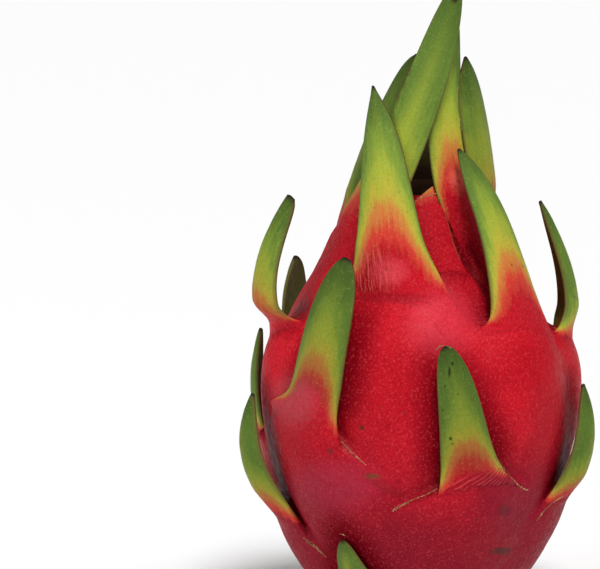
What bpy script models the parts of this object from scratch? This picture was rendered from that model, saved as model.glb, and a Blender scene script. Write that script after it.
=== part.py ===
"""Dragon fruit standing on its stem end, at real size, for Blender 4.5.

Run with: blender --background --python part.py

The fruit grew as one piece, so its skin and its scales are one solid. The withered flower in the
navel and the cut stem in the pit below are solids of their own. Azimuth 0 looks out along -Y, which
is the side the photograph shows, and grows towards +X. Lengths are in millimetres up to the last
step, where MM turns them into metres.
"""

import math
from typing import List, NamedTuple, Optional, Tuple

import bmesh
import bpy
import numpy as np

MM = 0.001
SEED = 7

# Driving dimensions of the body, in millimetres.
RIM_HEIGHT = 121.5
SIDE_OUTLINE = (
    (18.5, 0.0), (24.0, 2.6), (29.2, 9.0), (35.3, 20.5), (40.4, 33.5), (43.5, 48.0),
    (44.0, 62.0), (41.2, 76.0), (34.7, 89.0), (26.4, 101.0), (22.4, 111.0), (20.3, 118.0),
)
NAVEL_OUTLINE = ((18.6, 121.0), (16.6, RIM_HEIGHT), (14.6, 119.0), (13.0, 111.0), (10.5, 105.0), (5.0, 103.0))
NAVEL_FLOOR = 102.5
PIT_OUTLINE = ((6.6, 6.2), (8.2, 5.0), (9.3, 1.2), (10.8, 0.0))
PIT_FLOOR = 6.5
CUSHION_REACH = 21.0
STEP_START = -0.5
STEP_RUN = 3.5
ATTACH_RISE = 7.0
RECESS_DEPTH = 2.2
RECESS_REACH = 11.0
ROOT_FRACTION = 0.22
ROOT_SINK = 0.34
ROOT_SLOPE = 2.8
BODY_SEGMENTS = 60
SIDE_RINGS = 26

# Where the axis of the body stands, so that the box around the whole fruit is centred on the origin.
AXIS_X = 0.6
AXIS_Y = 1.2

# The withered flower and the cut stem.
FLOWER_RADIUS = 6.6
FLOWER_FOOT = 103.6
FLOWER_HEIGHT = 15.0
STEM_RADIUS = 5.4
STEM_TOP = 5.9
STEM_BOTTOM = 1.0

Polar = Tuple[float, float, float]


class Scale(NamedTuple):
    """One scale: where it leaves the body, how wide it is, and where its middle and tip are.

    azimuth and height give the middle of the line where it leaves the body, base and blade are half
    widths there and half way up, flare is how fast it narrows, middle and tip are places given as
    azimuth, radius and height, lift is how far its cushion swells, and skew drops its right-hand
    end and raises the left one. blunt is how bluntly it ends, cup how far its margins curl inwards,
    taper how much it narrows on the way, and twist how far its tip turns to the right, in degrees.
    """

    azimuth: float
    height: float
    base: float
    blade: float
    flare: float
    middle: Polar
    tip: Polar
    lift: float = 3.4
    skew: float = 0.0
    blunt: float = 0.62
    cup: float = 0.34
    taper: float = 0.22
    twist: float = 0.0


SEEN_SCALES = (
    # The crown that closes over the navel.
    Scale(-13.0, 88.0, 25.0, 7.9, 0.155, (-20.0, 30.0, 122.0), (-37.0, 22.0, 153.5), 3.2, 2.0,
          blunt=0.75, taper=0.0),
    Scale(-60.0, 95.0, 22.0, 6.7, 0.12, (-11.5, 24.5, 140.0), (28.0, 23.5, 183.5), 2.2, -3.0,
          blunt=0.45, taper=0.05),
    Scale(42.0, 104.0, 5.0, 7.3, 0.22, (25.0, 20.5, 137.0), (38.0, 17.5, 171.0), 1.6, blunt=0.42),
    Scale(62.0, 106.0, 3.6, 8.8, 0.3, (59.0, 22.0, 134.0), (46.0, 18.2, 161.0), 1.0,
          blunt=0.58, taper=0.05),
    Scale(-108.0, 103.0, 13.0, 7.4, 0.14, (-92.0, 16.5, 132.0), (-10.0, 3.5, 160.5), 1.6,
          taper=0.1, twist=22.0),
    Scale(7.0, 98.0, 13.0, 5.4, 0.34, (6.0, 24.5, 111.5), (5.5, 20.4, 123.5), 1.6, blunt=0.16),
    # The shoulder.
    Scale(49.0, 78.0, 20.0, 7.3, 0.13, (39.5, 36.5, 109.0), (24.5, 25.0, 136.0), 3.6, 5.0,
          blunt=0.5),
    Scale(96.0, 73.0, 17.0, 6.8, 0.13, (99.0, 45.0, 95.0), (98.0, 35.0, 117.5), 3.4, 5.0, cup=0.62),
    Scale(-76.0, 78.0, 15.0, 7.4, 0.12, (-72.0, 49.6, 98.0), (-67.0, 40.5, 122.0), 3.4, -6.0,
          blunt=0.34, cup=0.62),
    Scale(-128.0, 73.0, 15.0, 7.2, 0.16, (-122.0, 44.5, 86.0), (-118.0, 40.5, 99.5), 3.0, blunt=0.42),
    # The widest part.
    Scale(-44.0, 51.0, 19.5, 8.6, 0.095, (-37.5, 48.0, 81.0), (-31.5, 40.5, 106.5), 3.8, 7.0,
          blunt=0.42, taper=0.05),
    Scale(17.0, 35.0, 21.5, 7.2, 0.085, (13.8, 50.0, 61.0), (8.0, 49.0, 83.0), 3.8, -4.0,
          blunt=0.45, taper=0.16),
    Scale(-103.0, 46.0, 16.0, 5.6, 0.13, (-100.0, 49.0, 64.0), (-97.0, 46.0, 80.5), 3.2, cup=0.5),
    Scale(76.0, 28.0, 17.0, 6.6, 0.12, (73.0, 51.5, 48.0), (76.0, 48.3, 67.0), 2.7,
          cup=0.62, taper=0.1),
    Scale(-74.0, 23.0, 15.0, 6.8, 0.11, (-72.0, 53.0, 45.0), (-75.0, 49.5, 64.5), 3.4, 3.0,
          cup=0.62, taper=0.1),
    # The foot.
    Scale(-33.0, 7.6, 12.0, 4.8, 0.16, (-34.0, 36.5, 16.0), (-34.0, 40.0, 25.0), 2.0),
)


class Row(NamedTuple):
    """One row of scales on the side that the photograph hides."""

    first: float
    spacing: float
    count: int
    height: float
    base: float
    blade: float
    stand_off: float
    rise: float


HIDDEN_ROWS = (
    Row(138.0, 50.0, 2, 103.0, 16.0, 7.6, -6.0, 48.0),
    Row(158.0, 50.0, 2, 86.0, 18.0, 6.2, -1.0, 42.0),
    Row(132.0, 46.0, 1, 66.0, 17.0, 6.0, 1.0, 40.0),
    Row(178.0, 46.0, 1, 60.0, 18.0, 6.2, 2.0, 42.0),
    Row(118.0, 92.0, 2, 38.0, 18.0, 6.2, 4.0, 40.0),
    Row(160.0, 50.0, 2, 22.0, 17.0, 5.8, 5.0, 34.0),
    Row(132.0, 51.0, 3, 6.5, 11.0, 4.6, 3.4, 16.0),
)


def wrap(angle: np.ndarray) -> np.ndarray:
    """Bring angles in degrees into the range from -180 to 180."""
    return (angle + 180.0) % 360.0 - 180.0


def smoothstep(low: float, high: float, value: np.ndarray) -> np.ndarray:
    """Rise smoothly from 0 at low to 1 at high."""
    x = np.clip((value - low) / (high - low), 0.0, 1.0)
    return x * x * (3.0 - 2.0 * x)


def spline(points: Tuple[Tuple[float, float], ...], steps: int = 24) -> np.ndarray:
    """Draw a Catmull-Rom curve through the points."""
    knots = np.array([points[0], *points, points[-1]])
    out = []
    for i in range(1, len(knots) - 2):
        a, b, c, d = knots[i - 1:i + 3]
        for t in np.linspace(0.0, 1.0, steps, endpoint=False):
            out.append(0.5 * (2 * b + (c - a) * t + (2 * a - 5 * b + 4 * c - d) * t * t
                              + (3 * b - a - 3 * c + d) * t ** 3))
    out.append(knots[-2])
    return np.array(out)


SIDE = spline(SIDE_OUTLINE)
SIDE_ARC = np.concatenate(([0.0], np.cumsum(np.hypot(*np.diff(SIDE, axis=0).T))))


def side_radius(height: np.ndarray) -> np.ndarray:
    """Give the plain radius of the body at a height."""
    return np.interp(height, SIDE[:, 1], SIDE[:, 0])


def side_arc(height: np.ndarray) -> np.ndarray:
    """Give the length along the side from its foot up to a height."""
    return np.interp(height, SIDE[:, 1], SIDE_ARC)


def hidden_scales() -> List[Scale]:
    """Lay out the scales of the hidden rows, with a small seeded unevenness."""
    rng = np.random.default_rng(SEED)
    scales = []
    for row in HIDDEN_ROWS:
        for k in range(row.count):
            azimuth = row.first + k * row.spacing + rng.uniform(-2.0, 2.0)
            height = row.height + rng.uniform(-1.0, 1.0)
            middle_height = height + 0.52 * row.rise
            tip_height = height + row.rise
            outside = float(side_radius(np.array(height))) + row.stand_off
            at_middle = float(side_radius(np.array(middle_height)))
            at_tip = float(side_radius(np.array(min(tip_height, 118.0))))
            bulge = min(max(outside, at_middle + 5.6), at_middle + 6.5)
            tip = min(max(outside - 1.5, at_tip + 5.0), at_tip + 7.0)
            if row.height > 100.0:
                bulge = 21.5
                tip = 13.0
            elif row.height < 10.0:
                bulge = at_middle + 3.4
                tip = at_tip + 3.4
            lean = rng.uniform(-5.0, 5.0)
            lift = 2.0 if row.height < 10.0 else 3.0
            scales.append(Scale(azimuth, height, row.base, row.blade, 0.14,
                                (azimuth + 0.5 * lean, bulge, middle_height),
                                (azimuth + lean, tip, tip_height), lift))
    return scales


SCALES = list(SEEN_SCALES) + hidden_scales()


def cushion(scale: Scale, azimuth: np.ndarray, height: np.ndarray, stepped: bool) -> np.ndarray:
    """Give how far one scale's cushion lifts the skin, with or without the step above it."""
    along = side_arc(height) - side_arc(np.array(scale.height))
    across = np.radians(wrap(azimuth - scale.azimuth)) * side_radius(height) / scale.base
    reach = CUSHION_REACH * (0.45 if scale.height < 10.0 else 1.0)
    amount = scale.lift * np.clip(1.0 - (across / 1.15) ** 2, 0.0, 1.0) ** 2
    amount = amount * np.exp(-(np.minimum(along, 0.0) / reach) ** 2)
    if stepped:
        inside = np.clip(1.0 - across ** 2, 0.0, 1.0)
        edge = STEP_START + ATTACH_RISE * inside - scale.skew * across
        above = smoothstep(0.0, STEP_RUN, along - edge)
        dip = RECESS_DEPTH * inside * np.exp(-(np.maximum(along - edge, 0.0) / RECESS_REACH) ** 2)
        amount = amount * (1.0 - above) - dip * above * scale.lift / 3.4
    return amount


def skin_radius(azimuth: np.ndarray, height: np.ndarray, own: Optional[Scale] = None) -> np.ndarray:
    """Give the radius of the skin, with the own scale's cushion carried on above its step."""
    azimuth, height = np.broadcast_arrays(np.asarray(azimuth, float), np.asarray(height, float))
    lifted = sum(cushion(scale, azimuth, height, scale is not own) for scale in SCALES)
    fade = smoothstep(1.0, 9.0, height) * (1.0 - smoothstep(112.0, 120.0, height))
    return side_radius(height) + lifted * fade


def polar(azimuth: np.ndarray, radius: np.ndarray, height: np.ndarray) -> np.ndarray:
    """Turn azimuth, radius and height into places."""
    angle = np.radians(azimuth)
    parts = np.broadcast_arrays(radius * np.sin(angle), -radius * np.cos(angle), height)
    return np.stack(parts, axis=-1)


def unit(vectors: np.ndarray) -> np.ndarray:
    """Scale vectors to length one."""
    return vectors / np.maximum(np.linalg.norm(vectors, axis=-1, keepdims=True), 1e-9)


def half_width(scale: Scale, v: np.ndarray) -> np.ndarray:
    """Give the half width of a scale at the fraction v of its length."""
    up = np.clip(v, 0.0, 1.0)
    blade = scale.blade * (1.0 - scale.taper * up) * (1.0 - up ** 3.2) ** scale.blunt
    return blade + (scale.base - scale.blade) * np.exp(-(up / scale.flare) ** 0.95)


def blade_faces(scale: Scale, v: np.ndarray, u: np.ndarray) -> Tuple[np.ndarray, np.ndarray]:
    """Give the outer and inner face of a scale on a grid of v along it and u across it."""
    v = v[:, None]
    u = u[None, :]
    start = polar(scale.azimuth, skin_radius(scale.azimuth, scale.height, scale), scale.height)
    middle = polar(*np.array(scale.middle))
    tip = polar(*np.array(scale.tip))
    length = np.linalg.norm(middle - start) + np.linalg.norm(tip - middle)

    # The free blade: a curve through the three places, with a cupped cross-section.
    up = np.clip(v, 0.0, 1.0)[..., None]
    centre = start * (1 - up) * (1 - 2 * up) + middle * 4 * up * (1 - up) + tip * up * (2 * up - 1)
    tangent = unit(start * (4 * up - 3) + middle * (4 - 8 * up) + tip * (4 * up - 1))
    outwards = centre * np.array([1.0, 1.0, 0.0])
    lean_out = unit(polar(scale.azimuth, np.array(1.0), np.array(0.0)))
    outwards = unit(unit(outwards) * 1.0 + 0.35 * lean_out)
    normal = unit(outwards - tangent * np.sum(outwards * tangent, axis=-1, keepdims=True))
    turn = np.radians(scale.twist) * smoothstep(0.1, 0.7, up)
    normal = normal * np.cos(turn) + np.cross(tangent, normal) * np.sin(turn)
    side = np.cross(tangent, normal)
    width = half_width(scale, v)
    cupped = scale.cup * np.minimum(width, 1.6 * scale.blade) * u ** 2
    free = centre + side * (width * u)[..., None] - normal * cupped[..., None]

    # The rooted part: it follows the skin, a little below it.
    arc = side_arc(np.array(scale.height)) + v * length - scale.skew * u * (1.0 - smoothstep(0.0, 0.3, v))
    height = np.interp(arc, SIDE_ARC, SIDE[:, 1])
    azimuth = scale.azimuth + np.degrees(width * u / side_radius(height))
    sunk = ROOT_SINK + ROOT_SLOPE * np.clip(-v / ROOT_FRACTION, 0.0, 1.0) + 0.7 * np.abs(u) ** 6
    rooted = polar(azimuth, skin_radius(azimuth, height, scale) - sunk, height)

    share = smoothstep(0.02, 0.34, v)[..., None]
    outer = rooted * (1.0 - share) + free * share

    # Thick where it grows out of the body, thin at its margins and tip.
    margin = np.abs(u) ** 2.4
    root = 1.0 - smoothstep(-0.05, 0.22, v)
    slim = 1.0 - 0.45 * np.clip(v, 0.0, 1.0) ** 5
    middle_thickness = (3.3 - 1.5 * np.clip(v, 0.0, 1.0)) * slim + 3.4 * root
    edge_thickness = 0.85 + 2.7 * root
    thickness = middle_thickness * (1.0 - margin) + edge_thickness * margin
    inwards = normal * share + unit(rooted * np.array([1.0, 1.0, 0.0])) * (1.0 - share)
    inner = outer - inwards * thickness[..., None]
    return outer, inner


def make_material(name: str, colour: Tuple[float, float, float], roughness: float) -> bpy.types.Material:
    """Make a plain Principled material."""
    material = bpy.data.materials.new(name)
    material.use_nodes = True
    shader = material.node_tree.nodes["Principled BSDF"]
    shader.inputs["Base Color"].default_value = (*colour, 1.0)
    shader.inputs["Roughness"].default_value = roughness
    shader.inputs["Metallic"].default_value = 0.0
    return material


def loft(name: str, rings: List[np.ndarray], ends: Tuple[np.ndarray, np.ndarray]) -> bpy.types.Object:
    """Join rings of points into one closed solid, with a point closing each end."""
    mesh = bmesh.new()
    place = np.array([AXIS_X, AXIS_Y, 0.0])
    loops = [[mesh.verts.new((point + place) * MM) for point in ring] for ring in rings]
    first = mesh.verts.new((ends[0] + place) * MM)
    last = mesh.verts.new((ends[1] + place) * MM)
    count = len(loops[0])
    for i in range(count):
        j = (i + 1) % count
        mesh.faces.new((first, loops[0][j], loops[0][i]))
        mesh.faces.new((last, loops[-1][i], loops[-1][j]))
        for low, high in zip(loops, loops[1:]):
            mesh.faces.new((low[i], low[j], high[j], high[i]))
    bmesh.ops.recalc_face_normals(mesh, faces=mesh.faces)
    bmesh.ops.triangulate(mesh, faces=mesh.faces)
    data = bpy.data.meshes.new(name)
    mesh.to_mesh(data)
    mesh.free()
    thing = bpy.data.objects.new(name, data)
    bpy.context.scene.collection.objects.link(thing)
    return thing


def make_body() -> bpy.types.Object:
    """Build the body: stem pit, flat spot, swollen side, rim and navel."""
    azimuth = np.arange(BODY_SEGMENTS) * 360.0 / BODY_SEGMENTS
    rings = [polar(azimuth, np.array(r), np.array(z)) for r, z in PIT_OUTLINE]
    for arc in np.linspace(0.0, SIDE_ARC[-1], SIDE_RINGS):
        height = float(np.interp(arc, SIDE_ARC, SIDE[:, 1]))
        rings.append(polar(azimuth, skin_radius(azimuth, height), np.array(height)))
    rings += [polar(azimuth, np.array(r), np.array(z)) for r, z in NAVEL_OUTLINE]
    ends = (np.array([0.0, 0.0, PIT_FLOOR]), np.array([0.0, 0.0, NAVEL_FLOOR]))
    return loft("fruit", rings, ends)


def make_scale(index: int, scale: Scale) -> bpy.types.Object:
    """Build one scale as a closed blade with a sunk root."""
    large = scale.base > 12.0
    rooted = [-ROOT_FRACTION, -0.08] if large else [-ROOT_FRACTION]
    risen = [0.0, 0.05, 0.11, 0.18, 0.28, 0.42, 0.58, 0.74, 0.87, 0.95, 0.99] if large else [
        0.0, 0.08, 0.2, 0.4, 0.65, 0.85, 0.97]
    v = np.array(rooted + risen)
    u = np.array([-1.0, -0.62, 0.0, 0.62, 1.0])
    outer, inner = blade_faces(scale, v, u)
    rings = [np.concatenate((outer[k], inner[k][::-1])) for k in range(len(v))]
    tip = 0.5 * (outer[-1].mean(axis=0) + inner[-1].mean(axis=0))
    tip = tip + 0.4 * unit(tip - 0.5 * (outer[-2].mean(axis=0) + inner[-2].mean(axis=0)))
    return loft(f"scale_{index:02d}", rings, (rings[0].mean(axis=0), tip))


def fuse(body: bpy.types.Object, scales: List[bpy.types.Object]) -> None:
    """Join the scales to the body in one union and remove their objects."""
    group = bpy.data.collections.new("scales")
    for scale in scales:
        group.objects.link(scale)
    union = body.modifiers.new("grown_together", "BOOLEAN")
    union.operation = "UNION"
    union.operand_type = "COLLECTION"
    union.collection = group
    union.solver = "EXACT"
    bpy.context.view_layer.update()
    evaluated = body.evaluated_get(bpy.context.evaluated_depsgraph_get())
    joined = bpy.data.meshes.new_from_object(evaluated)
    body.modifiers.clear()
    body.data = joined
    for scale in scales:
        bpy.data.objects.remove(scale)
    bpy.data.collections.remove(group)


def keep_outside(thing: bpy.types.Object) -> None:
    """Drop loose scraps and the walls of any sealed hollow, and keep the one outer body."""
    mesh = bmesh.new()
    mesh.from_mesh(thing.data)
    bmesh.ops.remove_doubles(mesh, verts=mesh.verts, dist=0.02 * MM)
    bmesh.ops.dissolve_degenerate(mesh, edges=mesh.edges, dist=0.01 * MM)
    bmesh.ops.triangulate(mesh, faces=mesh.faces)
    left = set(mesh.verts)
    pieces = []
    while left:
        piece = set()
        front = [left.pop()]
        while front:
            vert = front.pop()
            piece.add(vert)
            for edge in vert.link_edges:
                other = edge.other_vert(vert)
                if other in left:
                    left.remove(other)
                    front.append(other)
        pieces.append(piece)
    pieces.sort(key=len)
    scraps = [vert for piece in pieces[:-1] for vert in piece]
    bmesh.ops.delete(mesh, geom=scraps, context="VERTS")
    mesh.to_mesh(thing.data)
    mesh.free()


def make_flower() -> bpy.types.Object:
    """Build the withered flower in the navel: a shrunken, pleated tube with a ragged mouth."""
    azimuth = np.arange(30) * 12.0
    rings = []
    for k, share in enumerate((0.0, 0.12, 0.3, 0.5, 0.7, 0.88, 1.0)):
        swell = FLOWER_RADIUS * (0.5 + 0.5 * math.sin(1.9 * share))
        pleat = (0.2 + 0.9 * share) * np.cos(np.radians(azimuth * 6.0 + 25.0 * k))
        ragged = 1.6 * share ** 3 * np.sin(np.radians(azimuth * 5.0 + 40.0))
        height = FLOWER_FOOT + FLOWER_HEIGHT * share + ragged
        rings.append(polar(azimuth + 9.0 * share, swell + pleat, height))
    for share in (0.86, 0.62):
        radius = FLOWER_RADIUS * 0.45 + 0.4 * np.cos(np.radians(azimuth * 6.0))
        rings.append(polar(azimuth, radius * share, np.array(FLOWER_FOOT + FLOWER_HEIGHT * share - 3.0)))
    foot = np.array([0.0, 0.0, FLOWER_FOOT])
    floor = np.array([0.0, 0.0, FLOWER_FOOT + FLOWER_HEIGHT * 0.4])
    return loft("dried_flower", rings, (foot, floor))


def make_stem() -> bpy.types.Object:
    """Build the cut stem in the pit: a short three-ribbed stump."""
    azimuth = np.arange(24) * 15.0
    ribbed = STEM_RADIUS * (0.9 + 0.1 * np.cos(np.radians(azimuth * 3.0)))
    rings = []
    for height, share in ((STEM_TOP, 0.86), (4.6, 0.94), (2.4, 1.0), (1.3, 0.96), (STEM_BOTTOM, 0.82)):
        rings.append(polar(azimuth, ribbed * share, np.array(height)))
    ends = (np.array([0.0, 0.0, STEM_TOP]), np.array([0.0, 0.0, STEM_BOTTOM + 0.5]))
    return loft("stem_stub", rings, ends)


def main() -> None:
    """Clear the scene and build the fruit, its withered flower and its cut stem."""
    for thing in list(bpy.data.objects):
        bpy.data.objects.remove(thing)
    body = make_body()
    scales = [make_scale(index, scale) for index, scale in enumerate(SCALES)]
    fuse(body, scales)
    keep_outside(body)
    body.data.materials.clear()
    body.data.materials.append(make_material("red_skin", (0.58, 0.03, 0.07), 0.42))
    flower = make_flower()
    flower.data.materials.append(make_material("withered_brown", (0.07, 0.035, 0.02), 0.85))
    stem = make_stem()
    stem.data.materials.append(make_material("cut_stem", (0.3, 0.26, 0.12), 0.75))


main()
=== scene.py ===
import logging
import math
from dataclasses import dataclass, field
from enum import Enum
from typing import Dict, List, Optional, Sequence, Tuple

import bmesh
import bpy
import numpy as np
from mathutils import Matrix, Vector
from mathutils.bvhtree import BVHTree
from mathutils.kdtree import KDTree


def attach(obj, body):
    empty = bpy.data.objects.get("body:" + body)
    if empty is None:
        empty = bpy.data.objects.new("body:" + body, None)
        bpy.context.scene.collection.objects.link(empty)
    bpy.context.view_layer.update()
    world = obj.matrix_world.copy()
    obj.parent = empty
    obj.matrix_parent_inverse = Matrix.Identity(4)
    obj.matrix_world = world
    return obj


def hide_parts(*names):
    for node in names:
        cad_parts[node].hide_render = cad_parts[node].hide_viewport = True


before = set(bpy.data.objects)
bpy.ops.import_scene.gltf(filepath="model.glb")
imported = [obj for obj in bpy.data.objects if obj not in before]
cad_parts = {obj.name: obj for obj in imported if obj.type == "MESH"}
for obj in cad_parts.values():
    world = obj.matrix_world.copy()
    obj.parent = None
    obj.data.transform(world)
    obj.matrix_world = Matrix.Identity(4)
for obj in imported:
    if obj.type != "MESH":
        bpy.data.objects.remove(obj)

MM = 0.001
# Where the axis of the body stands in the frame, in millimetres.
PLACE = (0.6, 1.2, 0.0)
# How far above level the photograph looks at the fruit from, in degrees.
VIEW_ELEVATION = 8.0
log = logging.getLogger("dragon_fruit")

Polar = Tuple[float, float, float]
Colour = Tuple[float, float, float]


class Zone(Enum):
    """Where on the fruit a scale grows."""

    CROWN = "crown"
    SHOULDER = "shoulder"
    BELLY = "belly"
    FOOT = "foot"


class Solver(Enum):
    """How solids are joined."""

    MANIFOLD = "MANIFOLD"
    EXACT = "EXACT"


# Small helpers for numbers and colours.

def srgb(red: float, green: float, blue: float) -> Colour:
    """Turn a screen colour from 0 to 255 into the linear values that Blender mixes.

    Args:
        red: Red as a screen shows it.
        green: Green as a screen shows it.
        blue: Blue as a screen shows it.

    Returns:
        The three linear values.
    """
    out = []
    for value in (red, green, blue):
        share = value / 255.0
        out.append(share / 12.92 if share <= 0.04045 else ((share + 0.055) / 1.055) ** 2.4)
    return out[0], out[1], out[2]


def wrap(angle: np.ndarray) -> np.ndarray:
    """Bring angles in degrees into the range from -180 to 180."""
    return (angle + 180.0) % 360.0 - 180.0


def smoothstep(low: float, high: float, value: np.ndarray) -> np.ndarray:
    """Go smoothly from 0 at low to 1 at high, which may be the lower of the two."""
    x = np.clip((value - low) / (high - low), 0.0, 1.0)
    return x * x * (3.0 - 2.0 * x)


def polar(azimuth: np.ndarray, radius: np.ndarray, height: np.ndarray) -> np.ndarray:
    """Turn azimuth, radius and height into places, with azimuth 0 out along -Y.

    Args:
        azimuth: Azimuths in degrees.
        radius: Radii from the axis.
        height: Heights above the flat spot.

    Returns:
        The places, with three coordinates in the last direction of the array.
    """
    angle = np.radians(azimuth)
    parts = np.broadcast_arrays(radius * np.sin(angle), -radius * np.cos(angle), height)
    return np.stack(parts, axis=-1)


def unit(vectors: np.ndarray) -> np.ndarray:
    """Scale vectors to length one."""
    return vectors / np.maximum(np.linalg.norm(vectors, axis=-1, keepdims=True), 1e-9)


def spline(points: Sequence[Tuple[float, float]], steps: int = 24) -> np.ndarray:
    """Draw a Catmull-Rom curve through points.

    Args:
        points: The points that the curve passes through.
        steps: How many places to give between two points.

    Returns:
        The places along the curve, one to a row.
    """
    knots = np.array([points[0], *points, points[-1]])
    out = []
    for i in range(1, len(knots) - 2):
        a, b, c, d = knots[i - 1:i + 3]
        for t in np.linspace(0.0, 1.0, steps, endpoint=False):
            out.append(0.5 * (2 * b + (c - a) * t + (2 * a - 5 * b + 4 * c - d) * t * t
                              + (3 * b - a - 3 * c + d) * t ** 3))
    out.append(knots[-2])
    return np.array(out)


def stand(name: str, data: bpy.types.ID) -> bpy.types.Object:
    """Put new data into the scene as an object.

    Args:
        name: The name of the object.
        data: Its mesh, light or camera.

    Returns:
        The linked object.
    """
    thing = bpy.data.objects.new(name, data)
    bpy.context.scene.collection.objects.link(thing)
    return thing


def dress(thing: bpy.types.Object, material: bpy.types.Material) -> None:
    """Give a plain piece its material and smooth shading.

    Args:
        thing: The piece.
        material: Its material.
    """
    thing.data.materials.append(material)
    for face in thing.data.polygons:
        face.use_smooth = True


def nearest_tree(points: np.ndarray) -> KDTree:
    """Sort points so that the nearest one to a place is found fast.

    Args:
        points: The points, one to a row.

    Returns:
        The tree of points.
    """
    tree = KDTree(len(points))
    for index, point in enumerate(points):
        tree.insert(point, index)
    tree.balance()
    return tree


def write_note(thing: bpy.types.Object, name: str, values: np.ndarray) -> None:
    """Store a number or a vector at each point of a mesh.

    Args:
        thing: The object whose mesh carries it.
        name: The name of the attribute.
        values: A number or three for each point.
    """
    vector = values.ndim == 2
    note = thing.data.attributes.new(name, "FLOAT_VECTOR" if vector else "FLOAT", "POINT")
    note.data.foreach_set("vector" if vector else "value", values.astype(np.float32).ravel())


# The form of the fruit: that of the part's own source, but for small changes to four scales and for the
# finer forms that its solids leave out.

@dataclass(frozen=True)
class Scale:
    """One scale, in millimetres and degrees.

    azimuth and height give the middle of the line where it leaves the body. base and blade are half
    widths there and half way up, and flare is how fast it narrows. middle and tip are azimuth,
    radius and height. lift is how far its cushion swells, and skew drops its right-hand end.
    blunt is how bluntly it ends, point how much of that is drawn out to a point, cup how far its
    margins curl inwards, taper how much it narrows on the way, and twist how far its tip turns to the
    right. red_to and green_from are the shares of its length where red ends and plain green begins,
    rim is how much earlier its margins turn green, and shade darkens it where it is below 1. crease is how deep the skin
    is pinched across its foot, folds how strongly its foot is drawn into fine folds, furrows how
    strongly it is lined lengthwise, slant how far the right-hand end of a blunt tip is raised, and
    uneven how much more its right-hand margin flares than its left-hand one, lobe how far the
    left-hand margin bulges out again above the foot, and lopsided how much wider the right-hand half
    of its upper part is than the left-hand half.
    """

    azimuth: float
    height: float
    base: float
    blade: float
    flare: float
    middle: Polar
    tip: Polar
    lift: float = 3.4
    skew: float = 0.0
    blunt: float = 0.62
    cup: float = 0.34
    taper: float = 0.22
    twist: float = 0.0
    red_to: float = 0.2
    green_from: float = 0.5
    shade: float = 1.0
    rim: float = 0.14
    point: float = 0.35
    crease: float = 0.0
    folds: float = 0.0
    furrows: float = 0.0
    slant: float = 0.0
    uneven: float = 0.0
    lobe: float = 0.0
    lopsided: float = 0.0

    def zone(self) -> Zone:
        """Name the part of the fruit that the scale grows on.

        Returns:
            The zone, from the height of the scale's foot.
        """
        if self.height > 87.0:
            return Zone.CROWN
        if self.height > 65.0:
            return Zone.SHOULDER
        return Zone.BELLY if self.height > 12.0 else Zone.FOOT


@dataclass(frozen=True)
class HiddenRow:
    """One row of scales on the side that the photograph hides."""

    first: float
    spacing: float
    count: int
    height: float
    base: float
    blade: float
    stand_off: float
    rise: float


@dataclass(frozen=True)
class BodyOutline:
    """The plain turned outline of the body, in millimetres."""

    side: Tuple[Tuple[float, float], ...] = (
        (18.5, 0.0), (24.0, 2.6), (29.2, 9.0), (35.3, 20.5), (40.4, 33.5), (43.5, 48.0),
        (44.0, 62.0), (41.2, 76.0), (34.7, 89.0), (26.4, 101.0), (22.4, 111.0), (20.3, 118.0),
    )
    navel: Tuple[Tuple[float, float], ...] = (
        (18.6, 121.0), (16.6, 121.5), (14.6, 119.0), (13.0, 111.0), (10.5, 105.0), (5.0, 103.0),
    )
    pit: Tuple[Tuple[float, float], ...] = ((6.6, 6.2), (8.2, 5.0), (9.3, 1.2), (10.8, 0.0))
    navel_floor: float = 102.5
    pit_floor: float = 6.5

    def curve(self) -> np.ndarray:
        """Give the side as radius and height along it."""
        return spline(self.side)


@dataclass(frozen=True)
class Crease:
    """A narrow crease in the skin, along places given as azimuth and height."""

    path: Tuple[Tuple[float, float], ...]
    depth: float
    width: float


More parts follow.
